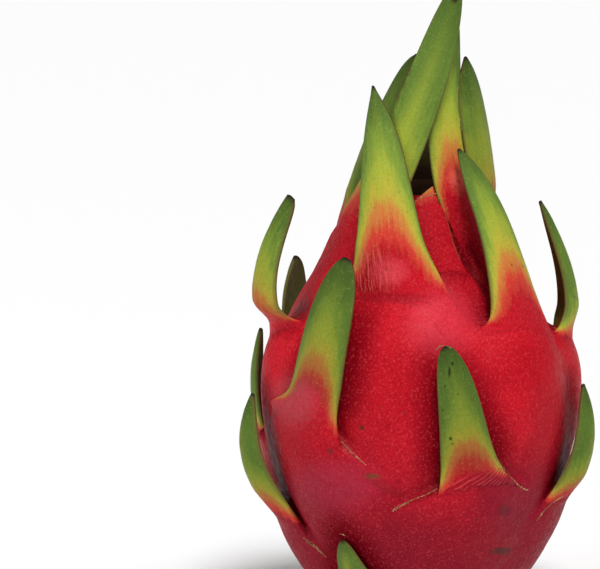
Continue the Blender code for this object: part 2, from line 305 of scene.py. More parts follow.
@dataclass
class Skin:
    """The radius of the skin all round, with the cushion below each scale and the step above it."""

    outline: BodyOutline
    scales: List[Scale]
    reach: float = 21.0
    step_start: float = -0.5
    step_run: float = 3.5
    attach_rise: float = 7.0
    recess_depth: float = 2.2
    recess_reach: float = 11.0
    creases: Tuple[Crease, ...] = (
        Crease(((18.0, 116.0), (24.0, 107.0), (33.5, 101.0), (38.0, 95.0)), 1.1, 1.6),
        Crease(((28.0, 116.0), (35.0, 108.0), (41.0, 101.0), (42.0, 95.0)), 0.9, 1.2),
        Crease(((8.0, 99.0), (14.0, 92.0), (24.0, 84.0)), 0.5, 1.4),
        Crease(((-21.0, 43.5), (-14.0, 40.0), (-8.0, 38.5)), 0.7, 1.3),
    )
    curve: np.ndarray = field(init=False)
    arcs: np.ndarray = field(init=False)

    def __post_init__(self) -> None:
        """Measure along the side once."""
        self.curve = self.outline.curve()
        self.arcs = np.concatenate(([0.0], np.cumsum(np.hypot(*np.diff(self.curve, axis=0).T))))

    def plain(self, height: np.ndarray) -> np.ndarray:
        """Give the plain radius of the body at a height."""
        return np.interp(height, self.curve[:, 1], self.curve[:, 0])

    def arc(self, height: np.ndarray) -> np.ndarray:
        """Give the length along the side from its foot up to a height."""
        return np.interp(height, self.curve[:, 1], self.arcs)

    def height(self, arc: np.ndarray) -> np.ndarray:
        """Give the height at a length along the side."""
        return np.interp(arc, self.arcs, self.curve[:, 1])

    def place_below(self, scale: Scale, azimuth: np.ndarray, height: np.ndarray) -> Tuple[np.ndarray, ...]:
        """Say where a place on the skin is, seen from one scale.

        Args:
            scale: The scale.
            azimuth: Azimuths on the skin.
            height: Heights on the skin.

        Returns:
            The length up from the scale's foot, the share of its half width across, and the length
            up from the edge of its step.
        """
        along = self.arc(height) - self.arc(np.array(scale.height))
        across = np.radians(wrap(azimuth - scale.azimuth)) * self.plain(height) / scale.base
        inside = np.clip(1.0 - across ** 2, 0.0, 1.0)
        edge = self.step_start + self.attach_rise * inside - scale.skew * across
        return along, across, along - edge

    def cushion(self, scale: Scale, azimuth: np.ndarray, height: np.ndarray, stepped: bool) -> np.ndarray:
        """Give how far one scale's cushion lifts the skin.

        Args:
            scale: The scale above the cushion.
            azimuth: Azimuths on the skin.
            height: Heights on the skin.
            stepped: Whether the skin drops behind the scale.

        Returns:
            The lift in millimetres.
        """
        along, across, past_edge = self.place_below(scale, azimuth, height)
        reach = self.reach * (0.45 if scale.zone() is Zone.FOOT else 1.0)
        amount = scale.lift * np.clip(1.0 - (across / 1.15) ** 2, 0.0, 1.0) ** 2
        amount = amount * np.exp(-(np.minimum(along, 0.0) / reach) ** 2)
        if stepped:
            inside = np.clip(1.0 - across ** 2, 0.0, 1.0)
            above = smoothstep(0.0, self.step_run, past_edge)
            dip = self.recess_depth * inside * np.exp(-(np.maximum(past_edge, 0.0) / self.recess_reach) ** 2)
            amount = amount * (1.0 - above) - dip * above * scale.lift / 3.4
        return amount

    def radius(self, azimuth: np.ndarray, height: np.ndarray, own: Optional[Scale] = None) -> np.ndarray:
        """Give the radius of the skin.

        Args:
            azimuth: Azimuths on the skin.
            height: Heights on the skin.
            own: A scale whose cushion is carried on above its step.

        Returns:
            The radius in millimetres.
        """
        azimuth, height = np.broadcast_arrays(np.asarray(azimuth, float), np.asarray(height, float))
        lifted = sum(self.cushion(scale, azimuth, height, scale is not own) for scale in self.scales)
        fade = smoothstep(1.0, 9.0, height) * (1.0 - smoothstep(112.0, 120.0, height))
        return self.plain(height) + lifted * fade - self.creased(azimuth, height)

    def hollow(self, azimuth: np.ndarray, height: np.ndarray) -> np.ndarray:
        """Give how deep in the recess behind a scale places lie.

        Args:
            azimuth: Azimuths on the skin.
            height: Heights on the skin.

        Returns:
            Numbers from 0 outside to 1 in the deepest part.
        """
        deepest = np.zeros(np.broadcast(azimuth, height).shape)
        for scale in self.scales:
            _, across, past_edge = self.place_below(scale, azimuth, height)
            inside = np.clip(1.0 - across ** 2, 0.0, 1.0)
            near = np.exp(-(np.maximum(past_edge, 0.0) / (0.8 * self.recess_reach)) ** 2)
            deepest = np.maximum(deepest, inside * near * smoothstep(-1.0, 2.0, past_edge))
        return deepest

    def creased(self, azimuth: np.ndarray, height: np.ndarray) -> np.ndarray:
        """Give how deep the narrow creases are.

        Args:
            azimuth: Azimuths on the skin.
            height: Heights on the skin.

        Returns:
            The depths in millimetres.
        """
        depth = np.zeros(np.broadcast(azimuth, height).shape)
        around = self.plain(height)
        for crease in self.creases:
            for start, end in zip(crease.path, crease.path[1:]):
                length_x = np.radians(end[0] - start[0]) * around
                length_y = end[1] - start[1]
                off_x = np.radians(wrap(azimuth - start[0])) * around
                off_y = height - start[1]
                share = (off_x * length_x + off_y * length_y) / (length_x ** 2 + length_y ** 2)
                share = np.clip(share, 0.0, 1.0)
                away = np.hypot(off_x - share * length_x, off_y - share * length_y)
                depth = np.maximum(depth, crease.depth * np.exp(-(away / crease.width) ** 2))
        return depth


@dataclass(frozen=True)
class ScaleLayout:
    """Where all the scales grow: those that the photograph shows, and rows for its hidden side."""

    seed: int = 7
    rim_height: float = 118.0
    middle_share: float = 0.52
    middle_clear: Tuple[float, float] = (5.6, 6.5)
    tip_clear: Tuple[float, float] = (5.0, 7.0)
    tip_inwards: float = 1.5
    crown_from: float = 100.0
    crown_radii: Tuple[float, float] = (21.5, 13.0)
    foot_below: float = 10.0
    foot_clear: float = 3.4
    rows: Tuple[HiddenRow, ...] = (
        HiddenRow(138.0, 50.0, 2, 103.0, 16.0, 7.6, -6.0, 48.0),
        HiddenRow(158.0, 50.0, 2, 86.0, 18.0, 6.2, -1.0, 42.0),
        HiddenRow(132.0, 46.0, 1, 66.0, 17.0, 6.0, 1.0, 40.0),
        HiddenRow(178.0, 46.0, 1, 60.0, 18.0, 6.2, 2.0, 42.0),
        HiddenRow(118.0, 92.0, 2, 38.0, 18.0, 6.2, 4.0, 40.0),
        HiddenRow(160.0, 50.0, 2, 22.0, 17.0, 5.8, 5.0, 34.0),
        HiddenRow(132.0, 51.0, 3, 6.5, 11.0, 4.6, 3.4, 16.0),
    )

    def seen(self) -> List[Scale]:
        """Give the scales that the photograph shows.

        Returns:
            The scales, from the crown down to the foot.
        """
        crown = [
            Scale(-13.0, 88.0, 25.0, 7.9, 0.155, (-20.0, 31.2, 122.0), (-37.0, 22.8, 153.5), 3.2, 2.0,
                  blunt=0.75, taper=0.0, red_to=0.245, green_from=1.0, rim=0.32, point=0.8,
                  crease=0.6, furrows=1.0),
            Scale(-60.0, 95.0, 22.0, 6.7, 0.12, (-11.5, 24.5, 140.0), (28.0, 23.5, 183.5), 2.2, -3.0,
                  blunt=0.45, taper=0.05, red_to=0.20, green_from=0.72, rim=0.10, point=0.3,
                  shade=0.88),
            Scale(42.0, 104.0, 5.0, 7.3, 0.22, (25.0, 20.5, 137.0), (38.0, 17.5, 171.0), 1.6,
                  blunt=0.42, red_to=0.30, green_from=0.96, rim=0.24),
            Scale(62.0, 106.0, 3.6, 8.8, 0.3, (59.0, 22.0, 134.0), (46.0, 18.2, 161.0), 1.0,
                  blunt=0.58, taper=0.05, red_to=-0.04, green_from=1.05, shade=0.5, rim=0.0, point=0.6),
            Scale(-108.0, 103.0, 13.0, 7.4, 0.14, (-92.0, 16.5, 132.0), (-10.0, 3.5, 160.5), 1.6,
                  taper=0.1, twist=22.0, shade=0.35),
            Scale(7.0, 98.0, 13.0, 5.4, 0.34, (6.0, 24.5, 111.5), (5.5, 20.4, 123.5), 1.6,
                  blunt=0.16, red_to=0.80, green_from=1.6, rim=0.0, point=0.0, slant=2.2),
        ]
        shoulder = [
            Scale(49.0, 78.0, 20.0, 7.3, 0.13, (39.5, 36.5, 109.0), (25.3, 25.0, 136.0), 3.6, 5.0,
                  blunt=0.5, red_to=0.22, green_from=0.98, rim=0.28,
                  point=0.7, crease=0.5, lopsided=0.3),
            Scale(96.0, 73.0, 17.0, 6.8, 0.13, (99.0, 45.0, 95.0), (98.0, 35.0, 117.5), 3.4, 5.0,
                  cup=0.62, red_to=0.05, green_from=0.55, shade=0.75, point=0.7),
            Scale(-76.0, 78.0, 15.0, 7.4, 0.12, (-72.0, 49.6, 98.0), (-67.0, 40.5, 122.0), 3.4, -6.0,
                  blunt=0.34, cup=0.62, red_to=0.14, green_from=1.1, shade=0.7, point=0.0),
            Scale(-128.0, 73.0, 15.0, 7.2, 0.16, (-122.0, 44.5, 86.0), (-118.0, 40.5, 99.5), 3.0,
                  blunt=0.42, red_to=0.28, green_from=0.5, shade=0.3),
        ]
        belly = [
            Scale(-44.0, 51.0, 19.5, 8.6, 0.085, (-37.5, 48.0, 81.0), (-31.5, 40.5, 106.5), 3.8, 7.0,
                  blunt=0.42, taper=0.05, red_to=0.25, green_from=0.90, shade=0.42, rim=0.30,
                  uneven=-0.3, lobe=6.0),
            Scale(17.0, 35.0, 21.5, 7.2, 0.0975, (13.8, 50.0, 61.0), (8.0, 49.0, 83.0), 3.8, -4.0,
                  blunt=0.45, taper=0.16, red_to=0.18, green_from=0.80, shade=0.38, rim=0.26,
                  point=0.1, folds=1.0, uneven=0.59),
            Scale(-103.0, 46.0, 16.0, 5.6, 0.13, (-100.0, 49.0, 64.0), (-97.0, 46.0, 80.5), 3.2,
                  cup=0.5),
            Scale(76.0, 28.0, 17.0, 6.6, 0.12, (73.0, 51.5, 48.0), (76.0, 48.3, 67.0), 2.7,
                  cup=0.62, taper=0.1, red_to=0.14, green_from=0.66, shade=0.5, point=0.6),
            Scale(-74.0, 23.0, 15.0, 6.8, 0.11, (-72.0, 53.0, 45.0), (-75.0, 49.5, 64.5), 3.4, 3.0,
                  cup=0.62, taper=0.1, red_to=0.14, green_from=0.66, shade=0.5, point=0.5),
        ]
        foot = [
            Scale(-33.0, 7.6, 12.0, 4.8, 0.16, (-34.0, 36.5, 16.0), (-34.0, 40.0, 25.0), 2.0, shade=0.7),
        ]
        return crown + shoulder + belly + foot

    def hidden(self, outline: BodyOutline) -> List[Scale]:
        """Lay out the hidden rows, with a small seeded unevenness.

        Args:
            outline: The plain outline of the body.

        Returns:
            The scales of the hidden rows.
        """
        curve = outline.curve()
        rng = np.random.default_rng(self.seed)
        scales = []
        for row in self.rows:
            for k in range(row.count):
                azimuth = row.first + k * row.spacing + rng.uniform(-2.0, 2.0)
                height = row.height + rng.uniform(-1.0, 1.0)
                middle_height = height + self.middle_share * row.rise
                tip_height = height + row.rise
                at_foot, at_middle, at_tip = np.interp(
                    (height, middle_height, min(tip_height, self.rim_height)), curve[:, 1], curve[:, 0])
                outside = float(at_foot) + row.stand_off
                least, most = self.middle_clear
                bulge = float(min(max(outside, at_middle + least), at_middle + most))
                least, most = self.tip_clear
                tip = float(min(max(outside - self.tip_inwards, at_tip + least), at_tip + most))
                if row.height > self.crown_from:
                    bulge, tip = self.crown_radii
                elif row.height < self.foot_below:
                    bulge = float(at_middle) + self.foot_clear
                    tip = float(at_tip) + self.foot_clear
                lean = rng.uniform(-5.0, 5.0)
                lift = 2.0 if row.height < self.foot_below else 3.0
                scales.append(Scale(azimuth, height, row.base, row.blade, 0.14,
                                    (azimuth + 0.5 * lean, bulge, middle_height),
                                    (azimuth + lean, tip, tip_height), lift))
        return scales


@dataclass
class Surface:
    """A sheet or solid of points with faces, and what the finish needs to know at each point."""

    points: np.ndarray
    faces: List[Tuple[int, ...]]
    notes: Dict[str, np.ndarray]

    @staticmethod
    def loft(rings: np.ndarray, ends: np.ndarray, notes: Dict[str, np.ndarray]) -> "Surface":
        """Join rings of points into one closed solid.

        Args:
            rings: Rings by points by three coordinates.
            ends: The point that closes the first ring and the one that closes the last.
            notes: Values for each point of each ring.

        Returns:
            The closed solid.
        """
        count, around = rings.shape[:2]
        points = np.concatenate((rings.reshape(-1, 3), ends))
        faces: List[Tuple[int, ...]] = []
        first, last = count * around, count * around + 1
        for i in range(around):
            j = (i + 1) % around
            faces.append((first, j, i))
            faces.append((last, (count - 1) * around + i, (count - 1) * around + j))
            for k in range(count - 1):
                low, high = k * around, (k + 1) * around
                faces.append((low + i, low + j, high + j, high + i))
        full = {}
        for name, values in notes.items():
            flat = values.reshape((count * around,) + values.shape[2:])
            closing = np.stack((values[0].mean(axis=0), values[-1].mean(axis=0)))
            full[name] = np.concatenate((flat, closing))
        return Surface(points, faces, full)

    def make(self, name: str, place: np.ndarray) -> bpy.types.Object:
        """Make the mesh object.

        Args:
            name: The name of the object.
            place: Where its own zero stands, in millimetres.

        Returns:
            The linked object, in metres and with its faces turned outwards.
        """
        data = bpy.data.meshes.new(name)
        data.from_pydata(((self.points + place) * MM).tolist(), [], self.faces)
        mesh = bmesh.new()
        mesh.from_mesh(data)
        bmesh.ops.recalc_face_normals(mesh, faces=mesh.faces)
        mesh.to_mesh(data)
        mesh.free()
        return stand(name, data)


# Node trees.

class TreeBuilder:
    """A short way to write a node tree."""

    def __init__(self, tree: bpy.types.NodeTree) -> None:
        """Start on an empty tree.

        Args:
            tree: The tree to build in.
        """
        self.tree = tree
        self.tree.nodes.clear()
        self.column = 0

    def node(self, kind: str, **settings: object) -> bpy.types.Node:
        """Add a node.

        Args:
            kind: The type of node.
            settings: Its properties.

        Returns:
            The new node.
        """
        node = self.tree.nodes.new(kind)
        node.location = (190.0 * self.column, -60.0 * (self.column % 5))
        self.column += 1
        for name, value in settings.items():
            setattr(node, name, value)
        return node

    def link(self, start: bpy.types.NodeSocket, end: bpy.types.NodeSocket) -> None:
        """Join two sockets."""
        self.tree.links.new(start, end)

    def feed(self, socket: bpy.types.NodeSocket, value: object) -> None:
        """Link a socket or set its value.

        Args:
            socket: The input to feed.
            value: An output socket, or a plain value.
        """
        if isinstance(value, bpy.types.NodeSocket):
            self.link(value, socket)
        else:
            socket.default_value = value

    def sums(self, operation: str, *values: object, clamp: bool = False) -> bpy.types.NodeSocket:
        """Work out a number.

        Args:
            operation: The name of the sum.
            values: Sockets or numbers.
            clamp: Whether to keep the result from 0 to 1.

        Returns:
            The result.
        """
        node = self.node("ShaderNodeMath", operation=operation, use_clamp=clamp)
        for socket, value in zip(node.inputs, values):
            self.feed(socket, value)
        return node.outputs[0]

    def ramp(self, value: bpy.types.NodeSocket, low: float, high: float, to_low: float = 0.0,
             to_high: float = 1.0, smooth: bool = True) -> bpy.types.NodeSocket:
        """Turn one range of numbers into another.

        Args:
            value: The number to turn.
            low: Where the range begins.
            high: Where it ends.
            to_low: What the beginning becomes.
            to_high: What the end becomes.
            smooth: Whether to ease in and out.

        Returns:
            The result.
        """
        node = self.node("ShaderNodeMapRange")
        node.interpolation_type = "SMOOTHSTEP" if smooth else "LINEAR"
        for name, number in (("From Min", low), ("From Max", high), ("To Min", to_low), ("To Max", to_high)):
            node.inputs[name].default_value = number
        self.link(value, node.inputs["Value"])
        return node.outputs["Result"]

    def mix(self, share: object, first: object, second: object, blend: str = "MIX") -> bpy.types.NodeSocket:
        """Mix two colours.

        Args:
            share: How much of the second.
            first: A socket or a colour.
            second: A socket or a colour.
            blend: How they mix.

        Returns:
            The mixed colour.
        """
        node = self.node("ShaderNodeMix", data_type="RGBA", blend_type=blend)
        self.feed(node.inputs[0], share)
        for socket, value in ((node.inputs[6], first), (node.inputs[7], second)):
            self.feed(socket, (*value, 1.0) if isinstance(value, tuple) and len(value) == 3 else value)
        return node.outputs[2]

    def noise(self, vector: bpy.types.NodeSocket, scale: float, detail: float = 2.0,
              roughness: float = 0.5, seed: object = None) -> bpy.types.NodeSocket:
        """Give a cloudy number round 0.5.

        Args:
            vector: Where to read it.
            scale: How fine it is.
            detail: How many finer layers it has.
            roughness: How strong those are.
            seed: A fourth coordinate, if any.

        Returns:
            The number.
        """
        node = self.node("ShaderNodeTexNoise", noise_dimensions="3D" if seed is None else "4D")
        node.inputs["Scale"].default_value = scale
        node.inputs["Detail"].default_value = detail
        node.inputs["Roughness"].default_value = roughness
        self.link(vector, node.inputs["Vector"])
        if seed is not None:
            self.feed(node.inputs["W"], seed)
        return node.outputs[0]

    def blobs(self, vector: bpy.types.NodeSocket, scale: float) -> bpy.types.NodeSocket:
        """Give the distance to scattered centres.

        Args:
            vector: Where to read it.
            scale: How close together the centres lie.

        Returns:
            The distance.
        """
        node = self.node("ShaderNodeTexVoronoi", feature="F1")
        node.inputs["Scale"].default_value = scale
        self.link(vector, node.inputs["Vector"])
        return node.outputs["Distance"]

    def note(self, name: str, output: str = "Fac") -> bpy.types.NodeSocket:
        """Read a value that the mesh carries."""
        return self.node("ShaderNodeAttribute", attribute_name=name).outputs[output]

    def colours(self, value: bpy.types.NodeSocket,
                stops: Sequence[Tuple[float, Colour]]) -> bpy.types.NodeSocket:
        """Turn a number into colours.

        Args:
            value: The number.
            stops: Places from 0 to 1, each with a colour.

        Returns:
            The colour.
        """
        node = self.node("ShaderNodeValToRGB")
        band = node.color_ramp
        band.interpolation = "EASE"
        while len(band.elements) < len(stops):
            band.elements.new(0.5)
        for element, (place, colour) in zip(band.elements, stops):
            element.position = place
            element.color = (*colour, 1.0)
        self.link(value, node.inputs[0])
        return node.outputs[0]


def open_material(name: str) -> Tuple[bpy.types.Material, TreeBuilder, bpy.types.NodeSocket]:
    """Start a material that reads places on the object.

    Args:
        name: The name of the material.

    Returns:
        The material, its tree, and the object coordinates in metres.
    """
    material = bpy.data.materials.new(name)
    material.use_nodes = True
    tree = TreeBuilder(material.node_tree)
    return material, tree, tree.node("ShaderNodeTexCoord").outputs["Object"]


class FormTree(TreeBuilder):
    """A Geometry Nodes tree with named inputs that ends in Realize Instances and Set Material."""

    def __init__(self, name: str, inputs: Dict[str, Tuple[str, object]]) -> None:
        """Args:
            name: The name of the tree.
            inputs: For each input its socket type and its value.
        """
        super().__init__(bpy.data.node_groups.new(name, "GeometryNodeTree"))
        face = self.tree.interface
        face.new_socket("Geometry", in_out="INPUT", socket_type="NodeSocketGeometry")
        self.identifiers: Dict[str, str] = {}
        for label, (kind, value) in inputs.items():
            socket = face.new_socket(label, in_out="INPUT", socket_type=kind)
            if kind != "NodeSocketMaterial":
                socket.default_value = value
            self.identifiers[label] = socket.identifier
        face.new_socket("Geometry", in_out="OUTPUT", socket_type="NodeSocketGeometry")
        self.inputs = inputs
        self.start = self.node("NodeGroupInput")

    def given(self, label: str) -> bpy.types.NodeSocket:
        """Give the socket of a named input."""
        return self.start.outputs[label]

    def end(self, geometry: bpy.types.NodeSocket) -> None:
        """Close the tree.

        Args:
            geometry: What the tree has made.
        """
        smooth = self.node("GeometryNodeSetShadeSmooth")
        real = self.node("GeometryNodeRealizeInstances")
        dress = self.node("GeometryNodeSetMaterial")
        out = self.node("NodeGroupOutput")
        self.link(geometry, smooth.inputs["Geometry"])
        self.link(smooth.outputs[0], real.inputs[0])
        self.link(real.outputs[0], dress.inputs["Geometry"])
        self.link(self.given("Material"), dress.inputs["Material"])
        self.link(dress.outputs[0], out.inputs[0])

    def apply(self, thing: bpy.types.Object) -> None:
        """Run the tree on an object and keep the result as its plain mesh.

        Args:
            thing: The object to run it on.
        """
        modifier = thing.modifiers.new(self.tree.name, "NODES")
        modifier.node_group = self.tree
        for label, (_, value) in self.inputs.items():
            modifier[self.identifiers[label]] = value
        bpy.context.view_layer.update()
        evaluated = thing.evaluated_get(bpy.context.evaluated_depsgraph_get())
        made = bpy.data.meshes.new_from_object(evaluated)
        thing.modifiers.remove(modifier)
        thing.data = made


# Finishes.

@dataclass(frozen=True)
class Mark:
    """A mark on the front, by how far it lies to the right of the axis and up, in millimetres."""

    right: float
    up: float
    wide: float
    tall: float
    strength: float
    colour: Colour


@dataclass(frozen=True)
class FruitSkin:
    """The waxy skin: red body, red scale bases that turn orange, yellow and green towards the tips."""

    name: str = "red_skin"
    red: Colour = srgb(174, 8, 26)
    bright: Colour = srgb(192, 16, 34)
    # deep is both the deep red of dark grain and the colour of painted shade in recesses, creases, fold
    # troughs and under the blades.
    deep: Colour = srgb(98, 3, 14)
    crimson: Colour = srgb(126, 6, 32)
    coral: Colour = srgb(198, 54, 44)
    orange: Colour = srgb(196, 118, 56)
    yellow: Colour = srgb(178, 164, 56)
    lime: Colour = srgb(150, 162, 54)
    green: Colour = srgb(120, 144, 52)
    leaf: Colour = srgb(98, 126, 48)
    dark_green: Colour = srgb(52, 74, 28)
    brown: Colour = srgb(30, 20, 12)
    speckle: Colour = srgb(228, 84, 86)
    fold_ridge_highlight: Colour = srgb(228, 96, 100)
    furrow_line: Colour = srgb(230, 104, 100)
    midrib: Colour = srgb(166, 176, 56)
    blade_glint_dots: Colour = srgb(196, 204, 116)
    inner_face: Colour = srgb(92, 92, 42)
    dry_margin: Colour = srgb(104, 84, 46)
    navel: Colour = srgb(44, 26, 15)
    speck: Colour = srgb(60, 44, 26)
    bruise: Colour = srgb(84, 22, 30)
    shade_tint: Colour = (0.36, 0.40, 0.34)
    cloud_scale: float = 38.0
    wave_scale: float = 150.0
    speck_scale: float = 240.0
    gloss_scale: float = 520.0
    leather_scale: float = 560.0
    grain_scale: float = 1500.0
    bump_strength: float = 0.7
    bump_distance: float = 0.0011
    specular: float = 0.13
    sheltered_specular_loss: float = 0.12
    roughness: float = 0.46
    # Broad patches on the front: some are waxy bloom, and some are painted highlight, painted shadow and
    # painted light that lifts a shadow.
    blooms_and_painted_light: Tuple[Mark, ...] = (
        # Painted highlight on the front panel.
        Mark(6.0, 82.0, 12.0, 11.0, 0.5, srgb(224, 66, 84)),
        Mark(-9.0, 96.5, 7.0, 5.0, 0.7, srgb(222, 74, 84)),
        # Painted shadow: a dark band under the foot of the front crown scale.
        Mark(-8.0, 89.0, 13.0, 2.0, 0.6, srgb(120, 6, 20)),
        # Painted light: a pale patch that lightens the shadow on the foot of the front-right crown scale.
        Mark(11.0, 124.2, 3.6, 6.4, 0.65, srgb(255, 120, 100)),
        Mark(-36.0, 60.0, 9.0, 9.0, 0.6, srgb(172, 76, 86)),
        Mark(-24.0, 36.0, 16.0, 9.0, 0.42, srgb(154, 54, 80)),
        Mark(27.0, 32.0, 14.0, 12.0, 0.4, srgb(110, 8, 40)),
    )
    marks: Tuple[Mark, ...] = (
        Mark(9.6, 173.2, 1.1, 0.9, 0.85, srgb(50, 34, 18)),
        Mark(23.8, 28.9, 2.6, 2.2, 0.55, srgb(84, 26, 34)),
        Mark(23.0, 17.2, 4.4, 1.3, 0.75, srgb(64, 34, 28)),
        Mark(-13.6, 38.6, 2.8, 0.9, 0.7, srgb(104, 66, 34)),
        Mark(-16.6, 52.4, 0.8, 0.9, 0.8, srgb(60, 34, 26)),
        Mark(-25.4, 45.8, 1.2, 1.0, 0.6, srgb(64, 36, 40)),
        Mark(8.0, 68.2, 0.45, 1.9, 0.9, srgb(34, 38, 18)),
        Mark(8.9, 70.6, 0.55, 0.7, 0.9, srgb(34, 38, 18)),
        Mark(6.7, 64.2, 0.3, 0.5, 0.8, srgb(34, 38, 18)),
        Mark(-3.3, 153.2, 0.9, 2.4, 0.4, srgb(84, 58, 30)),
        Mark(-4.8, 150.0, 0.9, 2.4, 0.4, srgb(84, 58, 30)),
        Mark(-6.4, 146.4, 0.9, 2.4, 0.4, srgb(84, 58, 30)),
        Mark(8.4, 49.4, 0.6, 0.75, 0.9, srgb(40, 38, 18)),
        Mark(6.2, 57.4, 0.3, 0.35, 0.7, srgb(40, 38, 18)),
        Mark(10.4, 62.0, 0.35, 0.35, 0.7, srgb(40, 38, 18)),
    )

    def colour(self, tree: TreeBuilder, place: bpy.types.NodeSocket) -> bpy.types.NodeSocket:
        """Build the colour of the skin.

        Args:
            tree: The material's tree.
            place: Object coordinates in metres.

        Returns:
            The colour.
        """
        height = tree.node("ShaderNodeSeparateXYZ")
        tree.link(place, height.inputs[0])
        wide = tree.noise(place, self.cloud_scale, 3.0, 0.55)
        fine = tree.noise(place, self.grain_scale, 2.0, 0.6)
        body = tree.mix(tree.ramp(wide, 0.36, 0.66), self.red, self.bright)
        # Darker crimson towards the bottom: partly the skin's own deeper colour low down, partly painted
        # shade on the lower half.
        low = tree.sums("ADD", height.outputs["Z"], tree.sums("MULTIPLY", wide, 0.03))
        body = tree.mix(tree.ramp(low, 0.085, 0.030, 0.0, 0.9), body, self.crimson)
        # Painted shade: the skin is darkened in the recesses behind the scales, in the creases and low on the
        # inner faces of the scales.
        body = tree.mix(tree.ramp(tree.note("hollow"), 0.15, 0.95, 0.0, 0.9), body, self.deep)
        # Painted shade: the skin is darkened where a blade stands close over it.
        body = tree.mix(tree.sums("MULTIPLY", tree.note("near"), 0.8), body, self.deep)
        body = tree.mix(tree.ramp(fine, 0.54, 0.68, 0.0, 0.22), body, self.speckle)
        body = tree.mix(tree.ramp(fine, 0.46, 0.32, 0.0, 0.4), body, self.deep)
        blade, ripe = self.blade_colour(tree, wide, fine)
        own = tree.sums("MAXIMUM", tree.ramp(ripe, 0.02, 0.14), tree.ramp(tree.note("furrow"), 0.0, 0.5))
        skin = tree.mix(own, body, blade)
        # Painted light on the folds: a painted highlight on their ridges and painted shade in their troughs.
        folds = self.folds(tree, place)
        skin = tree.mix(tree.ramp(folds, 0.3, 1.0, 0.0, 0.3), skin, self.fold_ridge_highlight)
        skin = tree.mix(tree.ramp(folds, -0.3, -1.0, 0.0, 0.3), skin, self.deep)
        skin = tree.mix(tree.ramp(tree.note("inside"), 0.4, 1.0, 0.0, 0.8), skin, self.inner_face)
        skin = tree.mix(tree.ramp(tree.note("margin"), 0.35, 0.95, 0.0, 0.55), skin, self.dry_margin)
        skin = tree.mix(tree.note("tip"), skin, self.brown)
        # The navel's own withered brown; low on the inner faces of the crown scales the same brown is partly
        # painted shade of the cavity.
        skin = tree.mix(tree.note("navel"), skin, self.navel)
        return self.marked(tree, place, skin, ripe)

    def blade_colour(self, tree: TreeBuilder, wide: bpy.types.NodeSocket,
                     fine: bpy.types.NodeSocket) -> Tuple[bpy.types.NodeSocket, bpy.types.NodeSocket]:
        """Build the colour of the blades, which run from red through yellow to green in soft streaks.

        Args:
            tree: The material's tree.
            wide: A broad cloudy number.
            fine: A fine cloudy number.

        Returns:
            The colour, and how green each place is.
        """
        fibre = tree.noise(tree.note("streak", "Vector"), 1.0, 3.0, 0.6)
        swing = tree.sums("SUBTRACT", fibre, 0.5)
        ripe = tree.sums("MULTIPLY_ADD", swing, 0.30, tree.note("ripeness"))
        ripe = tree.sums("MULTIPLY_ADD", tree.sums("SUBTRACT", wide, 0.5), 0.20, ripe)
        ripe = tree.sums("MULTIPLY", ripe, tree.ramp(tree.note("ripeness"), 0.0, 0.06), clamp=True)
        blade = tree.colours(ripe, (
            (0.0, self.red), (0.18, self.coral), (0.36, self.orange), (0.52, self.yellow),
            (0.68, self.lime), (0.84, self.green), (1.0, self.leaf)))
        upper = tree.sums("MULTIPLY_ADD", swing, 0.7, tree.note("upper"), clamp=True)
        blade = tree.mix(tree.sums("MULTIPLY", upper, 0.6), blade, self.dark_green)
        furrow = tree.noise(tree.note("streak", "Vector"), 1.6, 1.0, 0.4)
        lines = tree.sums("MULTIPLY", tree.ramp(furrow, 0.50, 0.62, 0.0, 0.5), tree.note("furrow"))
        blade = tree.mix(lines, blade, self.furrow_line)
        stripe = tree.sums("MULTIPLY", tree.note("midrib"), tree.ramp(fibre, 0.3, 0.6, 0.45, 1.0))
        stripe = tree.sums("MULTIPLY", stripe, tree.ramp(ripe, 0.3, 0.7, 0.0, 0.6))
        blade = tree.mix(stripe, blade, self.midrib)
        blade = tree.mix(tree.note("shade"), blade, tree.mix(1.0, blade, self.shade_tint, "MULTIPLY"))
        # Painted glints: small pale dots over the blades.
        blade = tree.mix(tree.ramp(fine, 0.55, 0.75, 0.0, 0.14), blade, self.blade_glint_dots)
        blade = tree.mix(tree.ramp(fine, 0.45, 0.28, 0.0, 0.22), blade, self.dark_green)
        return blade, ripe

    def marked(self, tree: TreeBuilder, place: bpy.types.NodeSocket, skin: bpy.types.NodeSocket,
               ripe: bpy.types.NodeSocket) -> bpy.types.NodeSocket:
        """Add the dark specks, the bruises, and the marks, blooms and patches of painted light and shade that
        have a place on the front.

        Args:
            tree: The material's tree.
            place: Object coordinates in metres.
            skin: The colour so far.
            ripe: How green the place is.

        Returns:
            The colour with its marks.
        """
        speck = tree.ramp(tree.blobs(place, self.speck_scale), 0.15, 0.07)
        some = tree.ramp(tree.noise(place, 60.0, 1.0), 0.60, 0.70)
        specks = tree.sums("MULTIPLY", tree.sums("MULTIPLY", speck, some), 0.6)
        skin = tree.mix(specks, skin, self.speck)
        bruise = tree.ramp(tree.noise(place, 72.0, 2.0, 0.6), 0.70, 0.80, 0.0, 0.4)
        skin = tree.mix(tree.sums("MULTIPLY", bruise, tree.ramp(ripe, 0.3, 0.1)), skin, self.bruise)
        axes = tree.node("ShaderNodeSeparateXYZ")
        tree.link(place, axes.inputs[0])
        front = tree.ramp(axes.outputs["Y"], 0.0, -0.004)
        ragged = tree.sums("MULTIPLY", tree.noise(place, 900.0, 2.0, 0.6), 1.1)
        tilt = math.radians(VIEW_ELEVATION)
        lifted = tree.sums("MULTIPLY", axes.outputs["Z"], math.cos(tilt))
        lifted = tree.sums("MULTIPLY_ADD", axes.outputs["Y"], math.sin(tilt), lifted)
        red = tree.sums("MULTIPLY", tree.ramp(ripe, 0.3, 0.1), tree.ramp(ragged, 0.38, 0.70, 0.5, 1.0))
